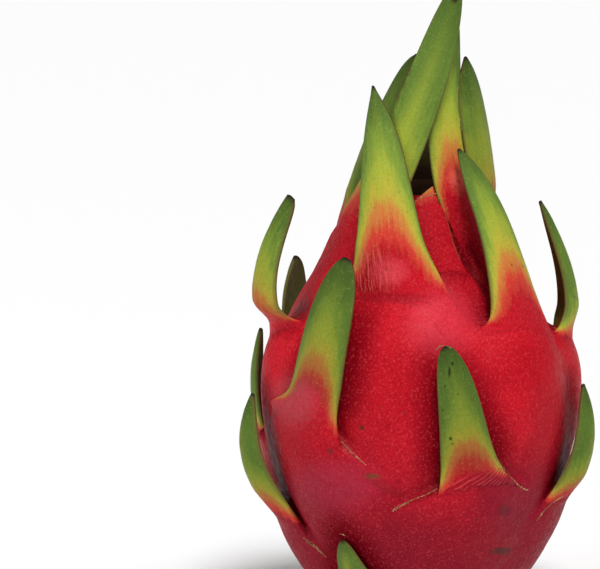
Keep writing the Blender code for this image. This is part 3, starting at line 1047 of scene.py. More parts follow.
        for mark in self.blooms_and_painted_light + self.marks:
            across = tree.sums("SUBTRACT", axes.outputs["X"], (mark.right + PLACE[0]) * MM)
            across = tree.sums("DIVIDE", across, mark.wide * MM)
            along = tree.sums("SUBTRACT", lifted, mark.up * MM)
            along = tree.sums("DIVIDE", along, mark.tall * MM)
            reach = tree.sums("MULTIPLY_ADD", along, along, tree.sums("MULTIPLY", across, across))
            edge = tree.sums("ADD", tree.sums("SQRT", reach), ragged)
            there = tree.ramp(edge, 1.7, 0.9, 0.0, mark.strength)
            there = tree.sums("MULTIPLY", there, front)
            if mark in self.blooms_and_painted_light:
                there = tree.sums("MULTIPLY", there, red)
            skin = tree.mix(there, skin, mark.colour)
        return skin

    def folds(self, tree: TreeBuilder, place: bpy.types.NodeSocket) -> bpy.types.NodeSocket:
        """Build the fine folds that the foot of a scale is drawn into.

        Args:
            tree: The material's tree.
            place: Object coordinates in metres.

        Returns:
            A number from -1 in the troughs to 1 on the ridges, and 0 away from the folds.
        """
        waves = tree.noise(place, self.wave_scale, 3.0, 0.6)
        fold_place = tree.sums("MULTIPLY_ADD", waves, 1.3, tree.note("fold_depth"))
        folds = tree.sums("SINE", tree.sums("MULTIPLY", fold_place, 3.3))
        return tree.sums("MULTIPLY", folds, tree.note("fold"))

    def relief(self, tree: TreeBuilder, place: bpy.types.NodeSocket) -> bpy.types.NodeSocket:
        """Build the fine relief: leathery grain, fibres along the blades and folds below them.

        Args:
            tree: The material's tree.
            place: Object coordinates in metres.

        Returns:
            The bumped normal.
        """
        grain = tree.noise(place, self.grain_scale, 2.0, 0.7)
        leather = tree.noise(place, self.leather_scale, 3.0, 0.65)
        waves = tree.noise(place, self.wave_scale, 3.0, 0.6)
        fibre = tree.noise(tree.note("streak", "Vector"), 2.2, 3.0, 0.7)
        furrow = tree.noise(tree.note("streak", "Vector"), 1.6, 1.0, 0.4)
        upright = tree.node("ShaderNodeMapping")
        upright.inputs["Scale"].default_value = (1.0, 1.0, 0.3)
        tree.link(place, upright.inputs["Vector"])
        crumple = tree.noise(upright.outputs[0], 330.0, 2.0, 0.5)
        height = tree.sums("MULTIPLY", grain, 0.15)
        height = tree.sums("MULTIPLY_ADD", leather, 0.28, height)
        height = tree.sums("MULTIPLY_ADD", waves, 0.30, height)
        height = tree.sums("MULTIPLY_ADD", tree.sums("MULTIPLY", fibre, tree.note("blade")), 0.30, height)
        height = tree.sums("MULTIPLY_ADD", tree.sums("MULTIPLY", furrow, tree.note("furrow")), 0.9, height)
        height = tree.sums("MULTIPLY_ADD", tree.sums("MULTIPLY", crumple, tree.note("hollow")), 0.5, height)
        height = tree.sums("MULTIPLY_ADD", self.folds(tree, place), 0.2, height)
        bump = tree.node("ShaderNodeBump")
        bump.inputs["Strength"].default_value = self.bump_strength
        bump.inputs["Distance"].default_value = self.bump_distance
        tree.link(height, bump.inputs["Height"])
        return bump.outputs["Normal"]

    def material(self) -> bpy.types.Material:
        """Build the material.

        Returns:
            The new material.
        """
        material, tree, place = open_material(self.name)
        shader = tree.node("ShaderNodeBsdfPrincipled")
        out = tree.node("ShaderNodeOutputMaterial")
        tree.link(self.colour(tree, place), shader.inputs["Base Color"])
        tree.link(self.relief(tree, place), shader.inputs["Normal"])
        gloss = tree.noise(place, self.gloss_scale, 2.0, 0.6)
        dull = tree.ramp(gloss, 0.3, 0.7, self.roughness - 0.06, self.roughness + 0.14)
        dull = tree.sums("MULTIPLY_ADD", tree.note("navel"), 0.4, dull)
        tree.link(dull, shader.inputs["Roughness"])
        shader.inputs["IOR"].default_value = 1.4
        loss = -self.sheltered_specular_loss
        glint = tree.sums("MULTIPLY_ADD", tree.note("near"), loss, self.specular, clamp=True)
        tree.link(glint, shader.inputs["Specular IOR Level"])
        shader.inputs["Subsurface Weight"].default_value = 0.12
        shader.inputs["Subsurface Radius"].default_value = (1.0, 0.28, 0.16)
        shader.inputs["Subsurface Scale"].default_value = 0.0016
        tree.link(shader.outputs[0], out.inputs["Surface"])
        return material


@dataclass(frozen=True)
class DryFinish:
    """A dry, dull plant finish with fibres, for the withered flower, its threads and the cut stem."""

    name: str
    dark: Colour
    light: Colour
    fineness: float = 420.0
    roughness: float = 0.85

    def material(self) -> bpy.types.Material:
        """Build the material.

        Returns:
            The new material.
        """
        material, tree, place = open_material(self.name)
        stretched = tree.node("ShaderNodeMapping")
        stretched.inputs["Scale"].default_value = (1.0, 1.0, 0.16)
        tree.link(place, stretched.inputs["Vector"])
        fibres = tree.noise(stretched.outputs[0], self.fineness, 4.0, 0.65)
        grain = tree.noise(place, self.fineness * 2.2, 2.0, 0.6)
        colour = tree.mix(tree.ramp(fibres, 0.35, 0.68), self.dark, self.light)
        colour = tree.mix(tree.ramp(grain, 0.55, 0.8, 0.0, 0.4), colour, self.light)
        shader = tree.node("ShaderNodeBsdfPrincipled")
        out = tree.node("ShaderNodeOutputMaterial")
        bump = tree.node("ShaderNodeBump")
        bump.inputs["Strength"].default_value = 0.8
        bump.inputs["Distance"].default_value = 0.0006
        tree.link(tree.sums("MULTIPLY_ADD", grain, 0.35, fibres), bump.inputs["Height"])
        tree.link(colour, shader.inputs["Base Color"])
        tree.link(bump.outputs["Normal"], shader.inputs["Normal"])
        shader.inputs["Roughness"].default_value = self.roughness
        tree.link(shader.outputs[0], out.inputs["Surface"])
        return material


@dataclass(frozen=True)
class FloorFinish:
    """A plain pale matt floor."""

    name: str = "pale_floor"
    colour: Colour = (0.97, 0.97, 0.97)
    roughness: float = 0.9

    def material(self) -> bpy.types.Material:
        """Build the material.

        Returns:
            The new material.
        """
        material = bpy.data.materials.new(self.name)
        material.use_nodes = True
        shader = material.node_tree.nodes["Principled BSDF"]
        shader.inputs["Base Color"].default_value = (*self.colour, 1.0)
        shader.inputs["Roughness"].default_value = self.roughness
        shader.inputs["Specular IOR Level"].default_value = 0.2
        return material


# The pieces.

@dataclass
class Fruit:
    """The whole fruit: one skin with all its scales grown out of it."""

    skin: Skin
    place: np.ndarray
    finish: FruitSkin = field(default_factory=FruitSkin)
    around: int = 300
    rings: int = 150
    along: int = 46
    across: int = 15
    root: float = 0.22
    root_sink: float = 0.06
    mending_rounds: int = 8
    solver: Solver = Solver.MANIFOLD
    lump_depth: float = 0.00028
    pore_depth: float = 0.00005

    def half_width(self, scale: Scale, v: np.ndarray, u: np.ndarray) -> np.ndarray:
        """Give the half width of a scale.

        Args:
            scale: The scale.
            v: Fractions of its length.
            u: Places across it, whose sign tells the right-hand side from the left-hand one.

        Returns:
            The half widths in millimetres.
        """
        up = np.clip(v, 0.0, 1.0)
        blade = scale.blade * (1.0 - scale.taper * up) * (1.0 - up ** 3.2) ** scale.blunt
        blade = blade * (1.0 - scale.point * up ** 14.0)
        blade = blade * (1.0 + scale.lopsided * np.sign(u) * smoothstep(0.2, 0.7, up))
        flare = scale.flare * (1.0 + scale.uneven * np.sign(u))
        lobe = scale.lobe * np.exp(-((up - 0.13) / 0.07) ** 2) * (u < 0.0)
        return blade + (scale.base - scale.blade) * np.exp(-(up / flare) ** 0.95) + lobe

    def blade_faces(self, scale: Scale, v: np.ndarray, u: np.ndarray) -> Tuple[np.ndarray, np.ndarray, float]:
        """Lay out one scale.

        Args:
            scale: The scale.
            v: Places along it, negative in the root and 1 at the tip.
            u: Places across it, from -1 to 1.

        Returns:
            The points of its outer face, those of its inner face, and its length.
        """
        v = v[:, None]
        u = u[None, :]
        skin = self.skin
        start = polar(scale.azimuth, skin.radius(scale.azimuth, scale.height, scale), scale.height)
        middle = polar(*np.array(scale.middle))
        tip = polar(*np.array(scale.tip))
        length = float(np.linalg.norm(middle - start) + np.linalg.norm(tip - middle))

        up = np.clip(v, 0.0, 1.0)[..., None]
        centre = start * (1 - up) * (1 - 2 * up) + middle * 4 * up * (1 - up) + tip * up * (2 * up - 1)
        tangent = unit(start * (4 * up - 3) + middle * (4 - 8 * up) + tip * (4 * up - 1))
        flat = np.array([1.0, 1.0, 0.0])
        lean_out = unit(polar(scale.azimuth, np.array(1.0), np.array(0.0)))
        outwards = unit(unit(centre * flat) + 0.35 * lean_out)
        normal = unit(outwards - tangent * np.sum(outwards * tangent, axis=-1, keepdims=True))
        turn = np.radians(scale.twist) * smoothstep(0.1, 0.7, up)
        normal = normal * np.cos(turn) + np.cross(tangent, normal) * np.sin(turn)
        side = np.cross(tangent, normal)
        width = self.half_width(scale, v, u)
        cupped = scale.cup * np.minimum(width, 1.6 * scale.blade) * u ** 2
        free = centre + side * (width * u)[..., None] - normal * cupped[..., None]
        raised = scale.slant * u * np.clip(v, 0.0, 1.0) ** 4
        free = free + tangent * raised[..., None]

        eased = 1.0 - smoothstep(0.0, 0.3, v)
        arc = skin.arc(np.array(scale.height)) + v * length - scale.skew * u * eased
        height = skin.height(arc)
        azimuth = scale.azimuth + np.degrees(width * u / skin.plain(height))
        sunk = self.root_sink + 1.6 * np.clip(-v / self.root, 0.0, 1.0)
        rooted = polar(azimuth, skin.radius(azimuth, height, scale) - sunk, height)
        share = smoothstep(0.02, 0.34, v)[..., None]
        outer = rooted * (1.0 - share) + free * share
        pinch = scale.crease * np.exp(-((v - 0.11) / 0.045) ** 2) * (1.0 - u ** 4)
        outer = outer - unit(outer * flat) * pinch[..., None]

        margin = np.abs(u) ** 2.4
        root = 1.0 - smoothstep(-0.05, 0.22, v)
        slim = 1.0 - 0.45 * np.clip(v, 0.0, 1.0) ** 5
        middle_thickness = (3.3 - 1.5 * np.clip(v, 0.0, 1.0)) * slim + 3.4 * root
        edge_thickness = 0.85 + 2.7 * root
        thickness = middle_thickness * (1.0 - margin) + edge_thickness * margin
        inwards = normal * share + unit(rooted * flat) * (1.0 - share)
        return outer, outer - inwards * thickness[..., None], length

    def blade(self, scale: Scale, number: int) -> Surface:
        """Build one scale as a closed solid with its notes.

        Args:
            scale: The scale.
            number: Its number, which sets its own streaks apart.

        Returns:
            The closed solid.
        """
        small = scale.zone() is Zone.FOOT
        along = self.along // 2 if small else self.along
        share = np.linspace(0.0, 1.0, along)
        v = -self.root + (0.992 + self.root) * (share + 0.10 * np.sin(2.0 * np.pi * share) / (2.0 * np.pi))
        u = np.sin(np.linspace(-0.5, 0.5, self.across) * np.pi)
        outer, inner, length = self.blade_faces(scale, v, u)
        rings = np.concatenate((outer, inner[:, ::-1]), axis=1)
        both = np.concatenate((u, u[::-1]))[None, :]
        down = v[:, None]
        grid = np.broadcast_to(down, rings.shape[:2])
        width = self.half_width(scale, down, both)
        rim = np.abs(both) ** 3 * smoothstep(0.06, 0.22, down) * scale.rim
        ripeness = smoothstep(scale.red_to, scale.green_from, down + rim) ** 0.6
        ripeness = np.where(down < 0.0, 0.0, ripeness) * np.ones_like(grid)
        inner_side = np.concatenate((np.zeros(len(u)), np.ones(len(u))))[None, :] * np.ones_like(grid)
        crown = 1.0 if scale.zone() is Zone.CROWN else 0.0
        midrib = np.exp(-(both / 0.34) ** 2) * np.exp(-((down - 0.54) / 0.22) ** 2)
        furrow = smoothstep(0.10, 0.16, down) * smoothstep(0.36, 0.24, down) * smoothstep(0.3, -0.4, both)
        fanned = 0.36 + 0.64 * (1.0 - both) / 1.6
        fold = smoothstep(0.01, 0.05, down) * smoothstep(0.24, 0.17, down) * smoothstep(-0.95, -0.4, both)
        streak = np.stack((both * width + 40.0 * number, down * length * 0.12 * np.ones_like(both),
                           np.full(grid.shape, 3.1 * number)), axis=-1)
        notes = {
            "ripeness": ripeness,
            "inside": inner_side * smoothstep(0.1, 0.3, down),
            "margin": np.abs(both) ** 12 * smoothstep(0.1, 0.3, down),
            "midrib": midrib * (1.0 - inner_side),
            "upper": smoothstep(0.68, 1.0, down) * float(scale.blunt > 0.2) * np.ones_like(grid),
            "tip": smoothstep(0.955, 0.99, down) * float(scale.blunt > 0.2) * np.ones_like(grid),
            "blade": smoothstep(0.0, 0.15, down) * np.ones_like(grid),
            "shade": np.full(grid.shape, 1.0 - scale.shade) * smoothstep(0.1, 0.3, down),
            # Inner faces count as half hollow, so they take some painted shade too.
            "hollow": inner_side * 0.5,
            "navel": inner_side * crown * smoothstep(0.75, 0.4, down),
            "fold": fold * scale.folds * (1.0 - inner_side),
            "fold_depth": (0.31 - down) * length / fanned,
            "furrow": furrow * scale.furrows * (1.0 - inner_side),
            "streak": streak,
        }
        end = 0.5 * (outer[-1].mean(axis=0) + inner[-1].mean(axis=0))
        end = end + 0.3 * unit(end - 0.5 * (outer[-3].mean(axis=0) + inner[-3].mean(axis=0)))
        return Surface.loft(rings, np.stack((rings[0].mean(axis=0), end)), notes)

    def body(self) -> Surface:
        """Build the body as a closed solid with its notes: pit, flat spot, side, rim and navel.

        Returns:
            The closed solid.
        """
        azimuth = wrap(np.arange(self.around) * 360.0 / self.around)
        outline = self.skin.outline
        outside = 99.0
        rows: List[np.ndarray] = []
        heights: List[float] = []
        inward: List[float] = []
        for radius, height in outline.pit:
            rows.append(polar(azimuth, np.array(radius), np.array(height)))
            heights.append(height)
            inward.append(outside)
        for arc in np.linspace(0.0, self.skin.arcs[-1], self.rings):
            height = float(self.skin.height(arc))
            rows.append(polar(azimuth, self.skin.radius(azimuth, height), np.array(height)))
            heights.append(height)
            inward.append(outside)
        inner = spline((outline.side[-1],) + outline.navel, 4)[1:]
        for radius, height in inner:
            rows.append(polar(azimuth, np.array(radius), np.array(height)))
            heights.append(height)
            inward.append(radius)
        rings = np.stack(rows)
        grid = rings.shape[:2]
        around = np.broadcast_to(azimuth[None, :], grid)
        up = np.broadcast_to(np.array(heights)[:, None], grid)
        zero = np.zeros(grid)
        names = ("ripeness", "inside", "margin", "midrib", "upper", "tip", "blade", "shade", "furrow",
                 "fold", "fold_depth")
        notes = {name: zero for name in names}
        # The hollow note, which paints shade into the skin's colour, also covers the creases.
        creased = 0.7 * smoothstep(0.1, 1.1, self.skin.creased(around, up))
        notes["hollow"] = np.maximum(self.skin.hollow(around, up) * smoothstep(4.0, 14.0, up), creased)
        front = 2.8 * smoothstep(60.0, 35.0, np.abs(around))
        notes["navel"] = smoothstep(19.0, 17.6, np.array(inward)[:, None] + front)
        notes["streak"] = np.zeros(grid + (3,))
        ends = np.array([[0.0, 0.0, outline.pit_floor], [0.0, 0.0, outline.navel_floor]])
        return Surface.loft(rings, ends, notes)

    def join(self, body: bpy.types.Object, blades: List[bpy.types.Object]) -> None:
        """Join the scales to the body in one union.

        Args:
            body: The body, which is changed.
            blades: The scales, which are removed.
        """
        group = bpy.data.collections.new("scales")
        for blade in blades:
            group.objects.link(blade)
        union = body.modifiers.new("grown_together", "BOOLEAN")
        union.operation = "UNION"
        union.operand_type = "COLLECTION"
        union.collection = group
        union.solver = self.solver.value
        bpy.context.view_layer.update()
        evaluated = body.evaluated_get(bpy.context.evaluated_depsgraph_get())
        joined = bpy.data.meshes.new_from_object(evaluated)
        body.modifiers.clear()
        body.data = joined
        for blade in blades:
            bpy.data.objects.remove(blade)
        bpy.data.collections.remove(group)

    def clean(self, thing: bpy.types.Object) -> None:
        """Merge doubles, drop loose scraps and sealed hollows, and mend what that leaves open or doubled.

        Args:
            thing: The joined fruit.
        """
        mesh = bmesh.new()
        mesh.from_mesh(thing.data)
        bmesh.ops.remove_doubles(mesh, verts=mesh.verts, dist=0.03 * MM)
        bmesh.ops.dissolve_degenerate(mesh, edges=mesh.edges, dist=0.01 * MM)
        left = set(mesh.verts)
        pieces = []
        while left:
            piece = set()
            front = [left.pop()]
            while front:
                vert = front.pop()
                piece.add(vert)
                for edge in vert.link_edges:
                    other = edge.other_vert(vert)
                    if other in left:
                        left.remove(other)
                        front.append(other)
            pieces.append(piece)
        pieces.sort(key=len)
        bmesh.ops.delete(mesh, geom=[vert for piece in pieces[:-1] for vert in piece], context="VERTS")
        self.mend(mesh)
        mesh.to_mesh(thing.data)
        mesh.free()

    def mend(self, mesh: bmesh.types.BMesh) -> None:
        """Cut out the places where merging left doubled faces or pinches, and close every hole.

        Args:
            mesh: The joined fruit, which is changed.
        """
        for attempt in range(self.mending_rounds):
            loose = [edge for edge in mesh.edges if not edge.link_faces]
            bmesh.ops.delete(mesh, geom=loose, context="EDGES")
            faulty = {vert for edge in mesh.edges if len(edge.link_faces) > 2 for vert in edge.verts}
            for vert in mesh.verts:
                rims = sum(len(edge.link_faces) == 1 for edge in vert.link_edges)
                if rims > 2 or (rims == 0 and not vert.is_manifold) or (rims and attempt):
                    faulty.add(vert)
            around = {face for vert in faulty for face in vert.link_faces}
            bmesh.ops.delete(mesh, geom=list(around), context="FACES")
            open_edges = [edge for edge in mesh.edges if len(edge.link_faces) == 1]
            if not open_edges:
                break
            made = bmesh.ops.holes_fill(mesh, edges=open_edges, sides=0)["faces"]
            bmesh.ops.triangulate(mesh, faces=made)
        bmesh.ops.recalc_face_normals(mesh, faces=mesh.faces)

    def soften_joins(self, thing: bpy.types.Object, sources: np.ndarray) -> None:
        """Smooth the joins where a scale runs on from the skin, and leave the creases behind it.

        Args:
            thing: The joined fruit.
            sources: The points of the solids before they were joined, in metres.
        """
        data = thing.data
        points = np.empty(len(data.vertices) * 3)
        data.vertices.foreach_get("co", points)
        points = points.reshape(-1, 3)
        tree = nearest_tree(sources)
        fresh = np.array([tree.find(point)[2] > 0.02 * MM for point in points])
        mesh = bmesh.new()
        mesh.from_mesh(data)
        mesh.verts.ensure_lookup_table()
        sharp = np.zeros(len(points), bool)
        for edge in mesh.edges:
            if len(edge.link_faces) == 2 and edge.calc_face_angle(0.0) > math.radians(38.0):
                for vert in edge.verts:
                    sharp[vert.index] = True
        soft = {vert for vert in mesh.verts if fresh[vert.index] and not sharp[vert.index]}
        for _ in range(2):
            soft |= {edge.other_vert(vert) for vert in soft for edge in vert.link_edges
                     if not (fresh[edge.other_vert(vert).index] and sharp[edge.other_vert(vert).index])}
        soft = {vert for vert in soft if vert.co.z > 1.5 * MM}
        for _ in range(5):
            moved = {}
            for vert in soft:
                near = [edge.other_vert(vert).co for edge in vert.link_edges]
                moved[vert] = vert.co * 0.45 + sum(near, Vector()) * (0.55 / len(near))
            for vert, spot in moved.items():
                vert.co = spot
        mesh.to_mesh(data)
        mesh.free()
        log.info("smoothed %d points along the joins", len(soft))

    def take_notes(self, thing: bpy.types.Object, surfaces: List[Surface]) -> None:
        """Give each point of the joined fruit the notes of the nearest point before the join.

        Args:
            thing: The joined fruit.
            surfaces: The solids that it was joined from.
        """
        points = np.concatenate([surface.points for surface in surfaces])
        tree = nearest_tree((points + self.place) * MM)
        nearest = np.array([tree.find(vertex.co)[1] for vertex in thing.data.vertices])
        for name in surfaces[0].notes:
            values = np.concatenate([surface.notes[name] for surface in surfaces])[nearest]
            write_note(thing, name, values)
        self.note_shelter(thing, surfaces)
        low = np.array([vertex.co.z for vertex in thing.data.vertices])
        edge = np.concatenate([surface.notes["margin"] for surface in surfaces])[nearest]
        tips = np.concatenate([surface.notes["tip"] for surface in surfaces])[nearest]
        amount = smoothstep(0.5 * MM, 6.0 * MM, low) * (1.0 - 0.8 * edge) * (1.0 - tips)
        write_note(thing, "relief", amount)

    def note_shelter(self, thing: bpy.types.Object, surfaces: List[Surface]) -> None:
        """Note how closely the free part of a blade stands over the skin, for painted shade and a lower
        specular level there.

        Args:
            thing: The joined fruit.
            surfaces: The solids that it was joined from, with the body first.
        """
        blades = []
        for surface in surfaces[1:]:
            free = (surface.notes["inside"] > 0.9) & (surface.notes["blade"] > 0.99)
            blades.append(surface.points[free])
        tree = nearest_tree((np.concatenate(blades) + self.place) * MM)
        away = np.array([tree.find(vertex.co)[2] for vertex in thing.data.vertices])
        bare = np.empty(len(away))
        thing.data.attributes["blade"].data.foreach_get("value", bare)
        write_note(thing, "near", smoothstep(11.0 * MM, 1.5 * MM, away) * (1.0 - bare))

    def relief_tree(self, material: bpy.types.Material) -> FormTree:
        """Build the tree that lets the skin swell and sink a little and dresses it.

        Args:
            material: The skin's material.

        Returns:
            The tree.
        """
        tree = FormTree("skin_relief", {
            "Lump Depth": ("NodeSocketFloat", self.lump_depth),
            "Lump Size": ("NodeSocketFloat", 0.009),
            "Pore Depth": ("NodeSocketFloat", self.pore_depth),
            "Pore Size": ("NodeSocketFloat", 0.0022),
            "Seed": ("NodeSocketInt", 11),
            "Material": ("NodeSocketMaterial", material),
        })
        place = tree.node("GeometryNodeInputPosition").outputs[0]
        normal = tree.node("GeometryNodeInputNormal").outputs[0]
        firm = tree.node("GeometryNodeInputNamedAttribute", data_type="FLOAT")
        firm.inputs["Name"].default_value = "relief"
        total: object = 0.0
        for depth, size, seed in (("Lump Depth", "Lump Size", 0.0), ("Pore Depth", "Pore Size", 5.0)):
            scaled = tree.node("ShaderNodeVectorMath", operation="SCALE")
            tree.link(place, scaled.inputs[0])
            tree.link(tree.sums("DIVIDE", 1.0, tree.given(size)), scaled.inputs["Scale"])
            cloud = tree.noise(scaled.outputs[0], 1.0, 2.0, 0.5, tree.sums("ADD", tree.given("Seed"), seed))
            swing = tree.sums("MULTIPLY", tree.sums("SUBTRACT", cloud, 0.5), tree.given(depth))
            total = tree.sums("MULTIPLY_ADD", swing, 2.0, total)
        total = tree.sums("MULTIPLY", total, firm.outputs[0])
        offset = tree.node("ShaderNodeVectorMath", operation="SCALE")
        tree.link(normal, offset.inputs[0])
        tree.link(total, offset.inputs["Scale"])
        move = tree.node("GeometryNodeSetPosition")
        tree.link(tree.given("Geometry"), move.inputs["Geometry"])
        tree.link(offset.outputs[0], move.inputs["Offset"])
        tree.end(move.outputs[0])
        return tree

    def build(self) -> bpy.types.Object:
        """Build, join, finish and dress the fruit.

        Returns:
            The finished piece.
        """
        surfaces = [self.body()] + [self.blade(scale, k + 1) for k, scale in enumerate(self.skin.scales)]
        body = surfaces[0].make("dragon_fruit", self.place)
        blades = [surface.make(f"scale_{k:02d}", self.place) for k, surface in enumerate(surfaces[1:])]
        self.join(body, blades)
        self.clean(body)
        log.info("joined fruit has %d faces", len(body.data.polygons))
        sources = (np.concatenate([surface.points for surface in surfaces]) + self.place) * MM
        self.take_notes(body, surfaces)
        self.soften_joins(body, sources)
        self.relief_tree(self.finish.material()).apply(body)
        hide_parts("fruit")
        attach(body, "root")
        return body


@dataclass
class CorkLines:
    """Pale corky crumbs along the torn edges where scales leave the skin.

    Each path is given as the photograph shows it: millimetres to the right of the axis and up.
    """

    fruit: bpy.types.Object
    place: np.ndarray
    paths: Tuple[Tuple[Tuple[float, float], ...], ...] = (
        ((4.7, 34.9), (2.9, 33.9), (1.1, 33.0), (-2.0, 31.8), (-4.6, 30.7), (-6.9, 29.5), (-8.3, 28.1)),
        ((-3.4, 31.0), (-5.4, 29.9), (-7.4, 28.6)),
        ((21.2, 43.8), (23.2, 41.0), (25.2, 38.4), (28.1, 35.5), (30.7, 34.1)),
        ((-22.3, 48.1), (-20.1, 45.8), (-18.3, 44.1), (-15.2, 41.3)),
        ((-33.2, 20.6), (-30.7, 19.2), (-28.4, 17.2), (-26.4, 14.9)),
        ((-32.2, 19.6), (-29.6, 17.9), (-27.6, 15.8)),
        ((-22.6, 21.9), (-21.8, 21.9), (-20.9, 21.2)),
        ((33.2, 25.5), (34.9, 27.8), (37.5, 30.4), (41.0, 32.7)),
        ((4.3, 74.2), (5.2, 75.1), (6.4, 75.5), (7.7, 75.2), (8.9, 74.4)),
        ((-1.1, 116.9), (0.9, 117.5), (2.9, 118.1), (4.9, 118.6)),
    )
    step: float = 0.4
    spacing: float = 0.22
    crumb: float = 0.17
    spread: float = 0.13
    elevation: float = VIEW_ELEVATION
    seed: int = 31
    finish: DryFinish = DryFinish("cork", srgb(140, 96, 58), srgb(206, 172, 122), 900.0)

    def trace(self) -> Tuple[List[Vector], List[Tuple[int, int]]]:
        """Cast each path onto the fruit along the line of sight.

        Returns:
            The places on the skin, and which of them are joined.
        """
        mesh = self.fruit.data
        corners = [vert.co for vert in mesh.vertices]
        skin = BVHTree.FromPolygons(corners, [face.vertices for face in mesh.polygons])
        tilt = math.radians(self.elevation)
        sight = Vector((0.0, math.cos(tilt), -math.sin(tilt)))
        rise = Vector((0.0, math.sin(tilt), math.cos(tilt)))
        spots: List[Vector] = []
        joins: List[Tuple[int, int]] = []
        for path in self.paths:
            first = len(spots)
            for start, end in zip(path, path[1:]):
                count = max(2, int(math.dist(start, end) / self.step))
                for share in np.linspace(0.0, 1.0, count, endpoint=False):
                    right = start[0] + (end[0] - start[0]) * share
                    up = start[1] + (end[1] - start[1]) * share
                    aim = (Vector(self.place) + Vector((right, 0.0, 0.0)) + rise * up) * MM - sight * 0.3
                    hit, normal, _, _ = skin.ray_cast(aim, sight)
                    if hit is None:
                        continue
                    spots.append(hit + normal * (0.3 * self.crumb * MM))
                    if len(spots) - 1 > first and (spots[-1] - spots[-2]).length < 2.5 * self.step * MM:
                        joins.append((len(spots) - 2, len(spots) - 1))
        return spots, joins

    def crumb_tree(self, material: bpy.types.Material) -> FormTree:
        """Build the tree that strews crumbs along the lines.

        Args:
            material: The crumbs' material.

        Returns:
            The tree.
        """
        tree = FormTree("cork_crumbs", {
            "Spacing": ("NodeSocketFloat", self.spacing * MM),
            "Crumb Size": ("NodeSocketFloat", self.crumb * MM),
            "Spread": ("NodeSocketFloat", self.spread * MM),
            "Seed": ("NodeSocketInt", self.seed),
            "Material": ("NodeSocketMaterial", material),
        })
        line = tree.node("GeometryNodeMeshToCurve")
        tree.link(tree.given("Geometry"), line.inputs["Mesh"])
        dots = tree.node("GeometryNodeResampleCurve", mode="LENGTH")
        tree.link(line.outputs[0], dots.inputs["Curve"])
        tree.link(tree.given("Spacing"), dots.inputs["Length"])
        drift = tree.node("FunctionNodeRandomValue", data_type="FLOAT_VECTOR")
        drift.inputs[0].default_value = (-1.0, -1.0, -1.0)
        drift.inputs[1].default_value = (1.0, 1.0, 1.0)
        tree.link(tree.given("Seed"), drift.inputs["Seed"])
        amount = tree.node("ShaderNodeVectorMath", operation="SCALE")
        tree.link(drift.outputs[0], amount.inputs[0])
        tree.link(tree.given("Spread"), amount.inputs["Scale"])
        strewn = tree.node("GeometryNodeSetPosition")
        tree.link(dots.outputs[0], strewn.inputs["Geometry"])
        tree.link(amount.outputs[0], strewn.inputs["Offset"])
        crumb = tree.node("GeometryNodeMeshIcoSphere")
        crumb.inputs["Subdivisions"].default_value = 1
        tree.link(tree.given("Crumb Size"), crumb.inputs["Radius"])
        turn = tree.node("FunctionNodeRandomValue", data_type="FLOAT_VECTOR")
        turn.inputs[1].default_value = (6.28, 6.28, 6.28)
        tree.link(tree.sums("ADD", tree.given("Seed"), 3.0), turn.inputs["Seed"])
        size = tree.node("FunctionNodeRandomValue", data_type="FLOAT_VECTOR")
        size.inputs[0].default_value = (0.5, 0.4, 0.3)
        size.inputs[1].default_value = (1.7, 1.3, 0.9)
        tree.link(tree.sums("ADD", tree.given("Seed"), 7.0), size.inputs["Seed"])
        scatter = tree.node("GeometryNodeInstanceOnPoints")
        tree.link(strewn.outputs[0], scatter.inputs["Points"])
        tree.link(crumb.outputs[0], scatter.inputs["Instance"])
        tree.link(turn.outputs[0], scatter.inputs["Rotation"])
        tree.link(size.outputs[0], scatter.inputs["Scale"])
        tree.end(scatter.outputs[0])
        return tree

    def build(self) -> bpy.types.Object:
        """Build the crumbs.

        Returns:
            The finished piece.
        """
        spots, joins = self.trace()
        data = bpy.data.meshes.new("cork_lines")
        data.from_pydata(spots, joins, [])
        lines = stand("cork_lines", data)
        self.crumb_tree(self.finish.material()).apply(lines)
        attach(lines, "root")
        return lines


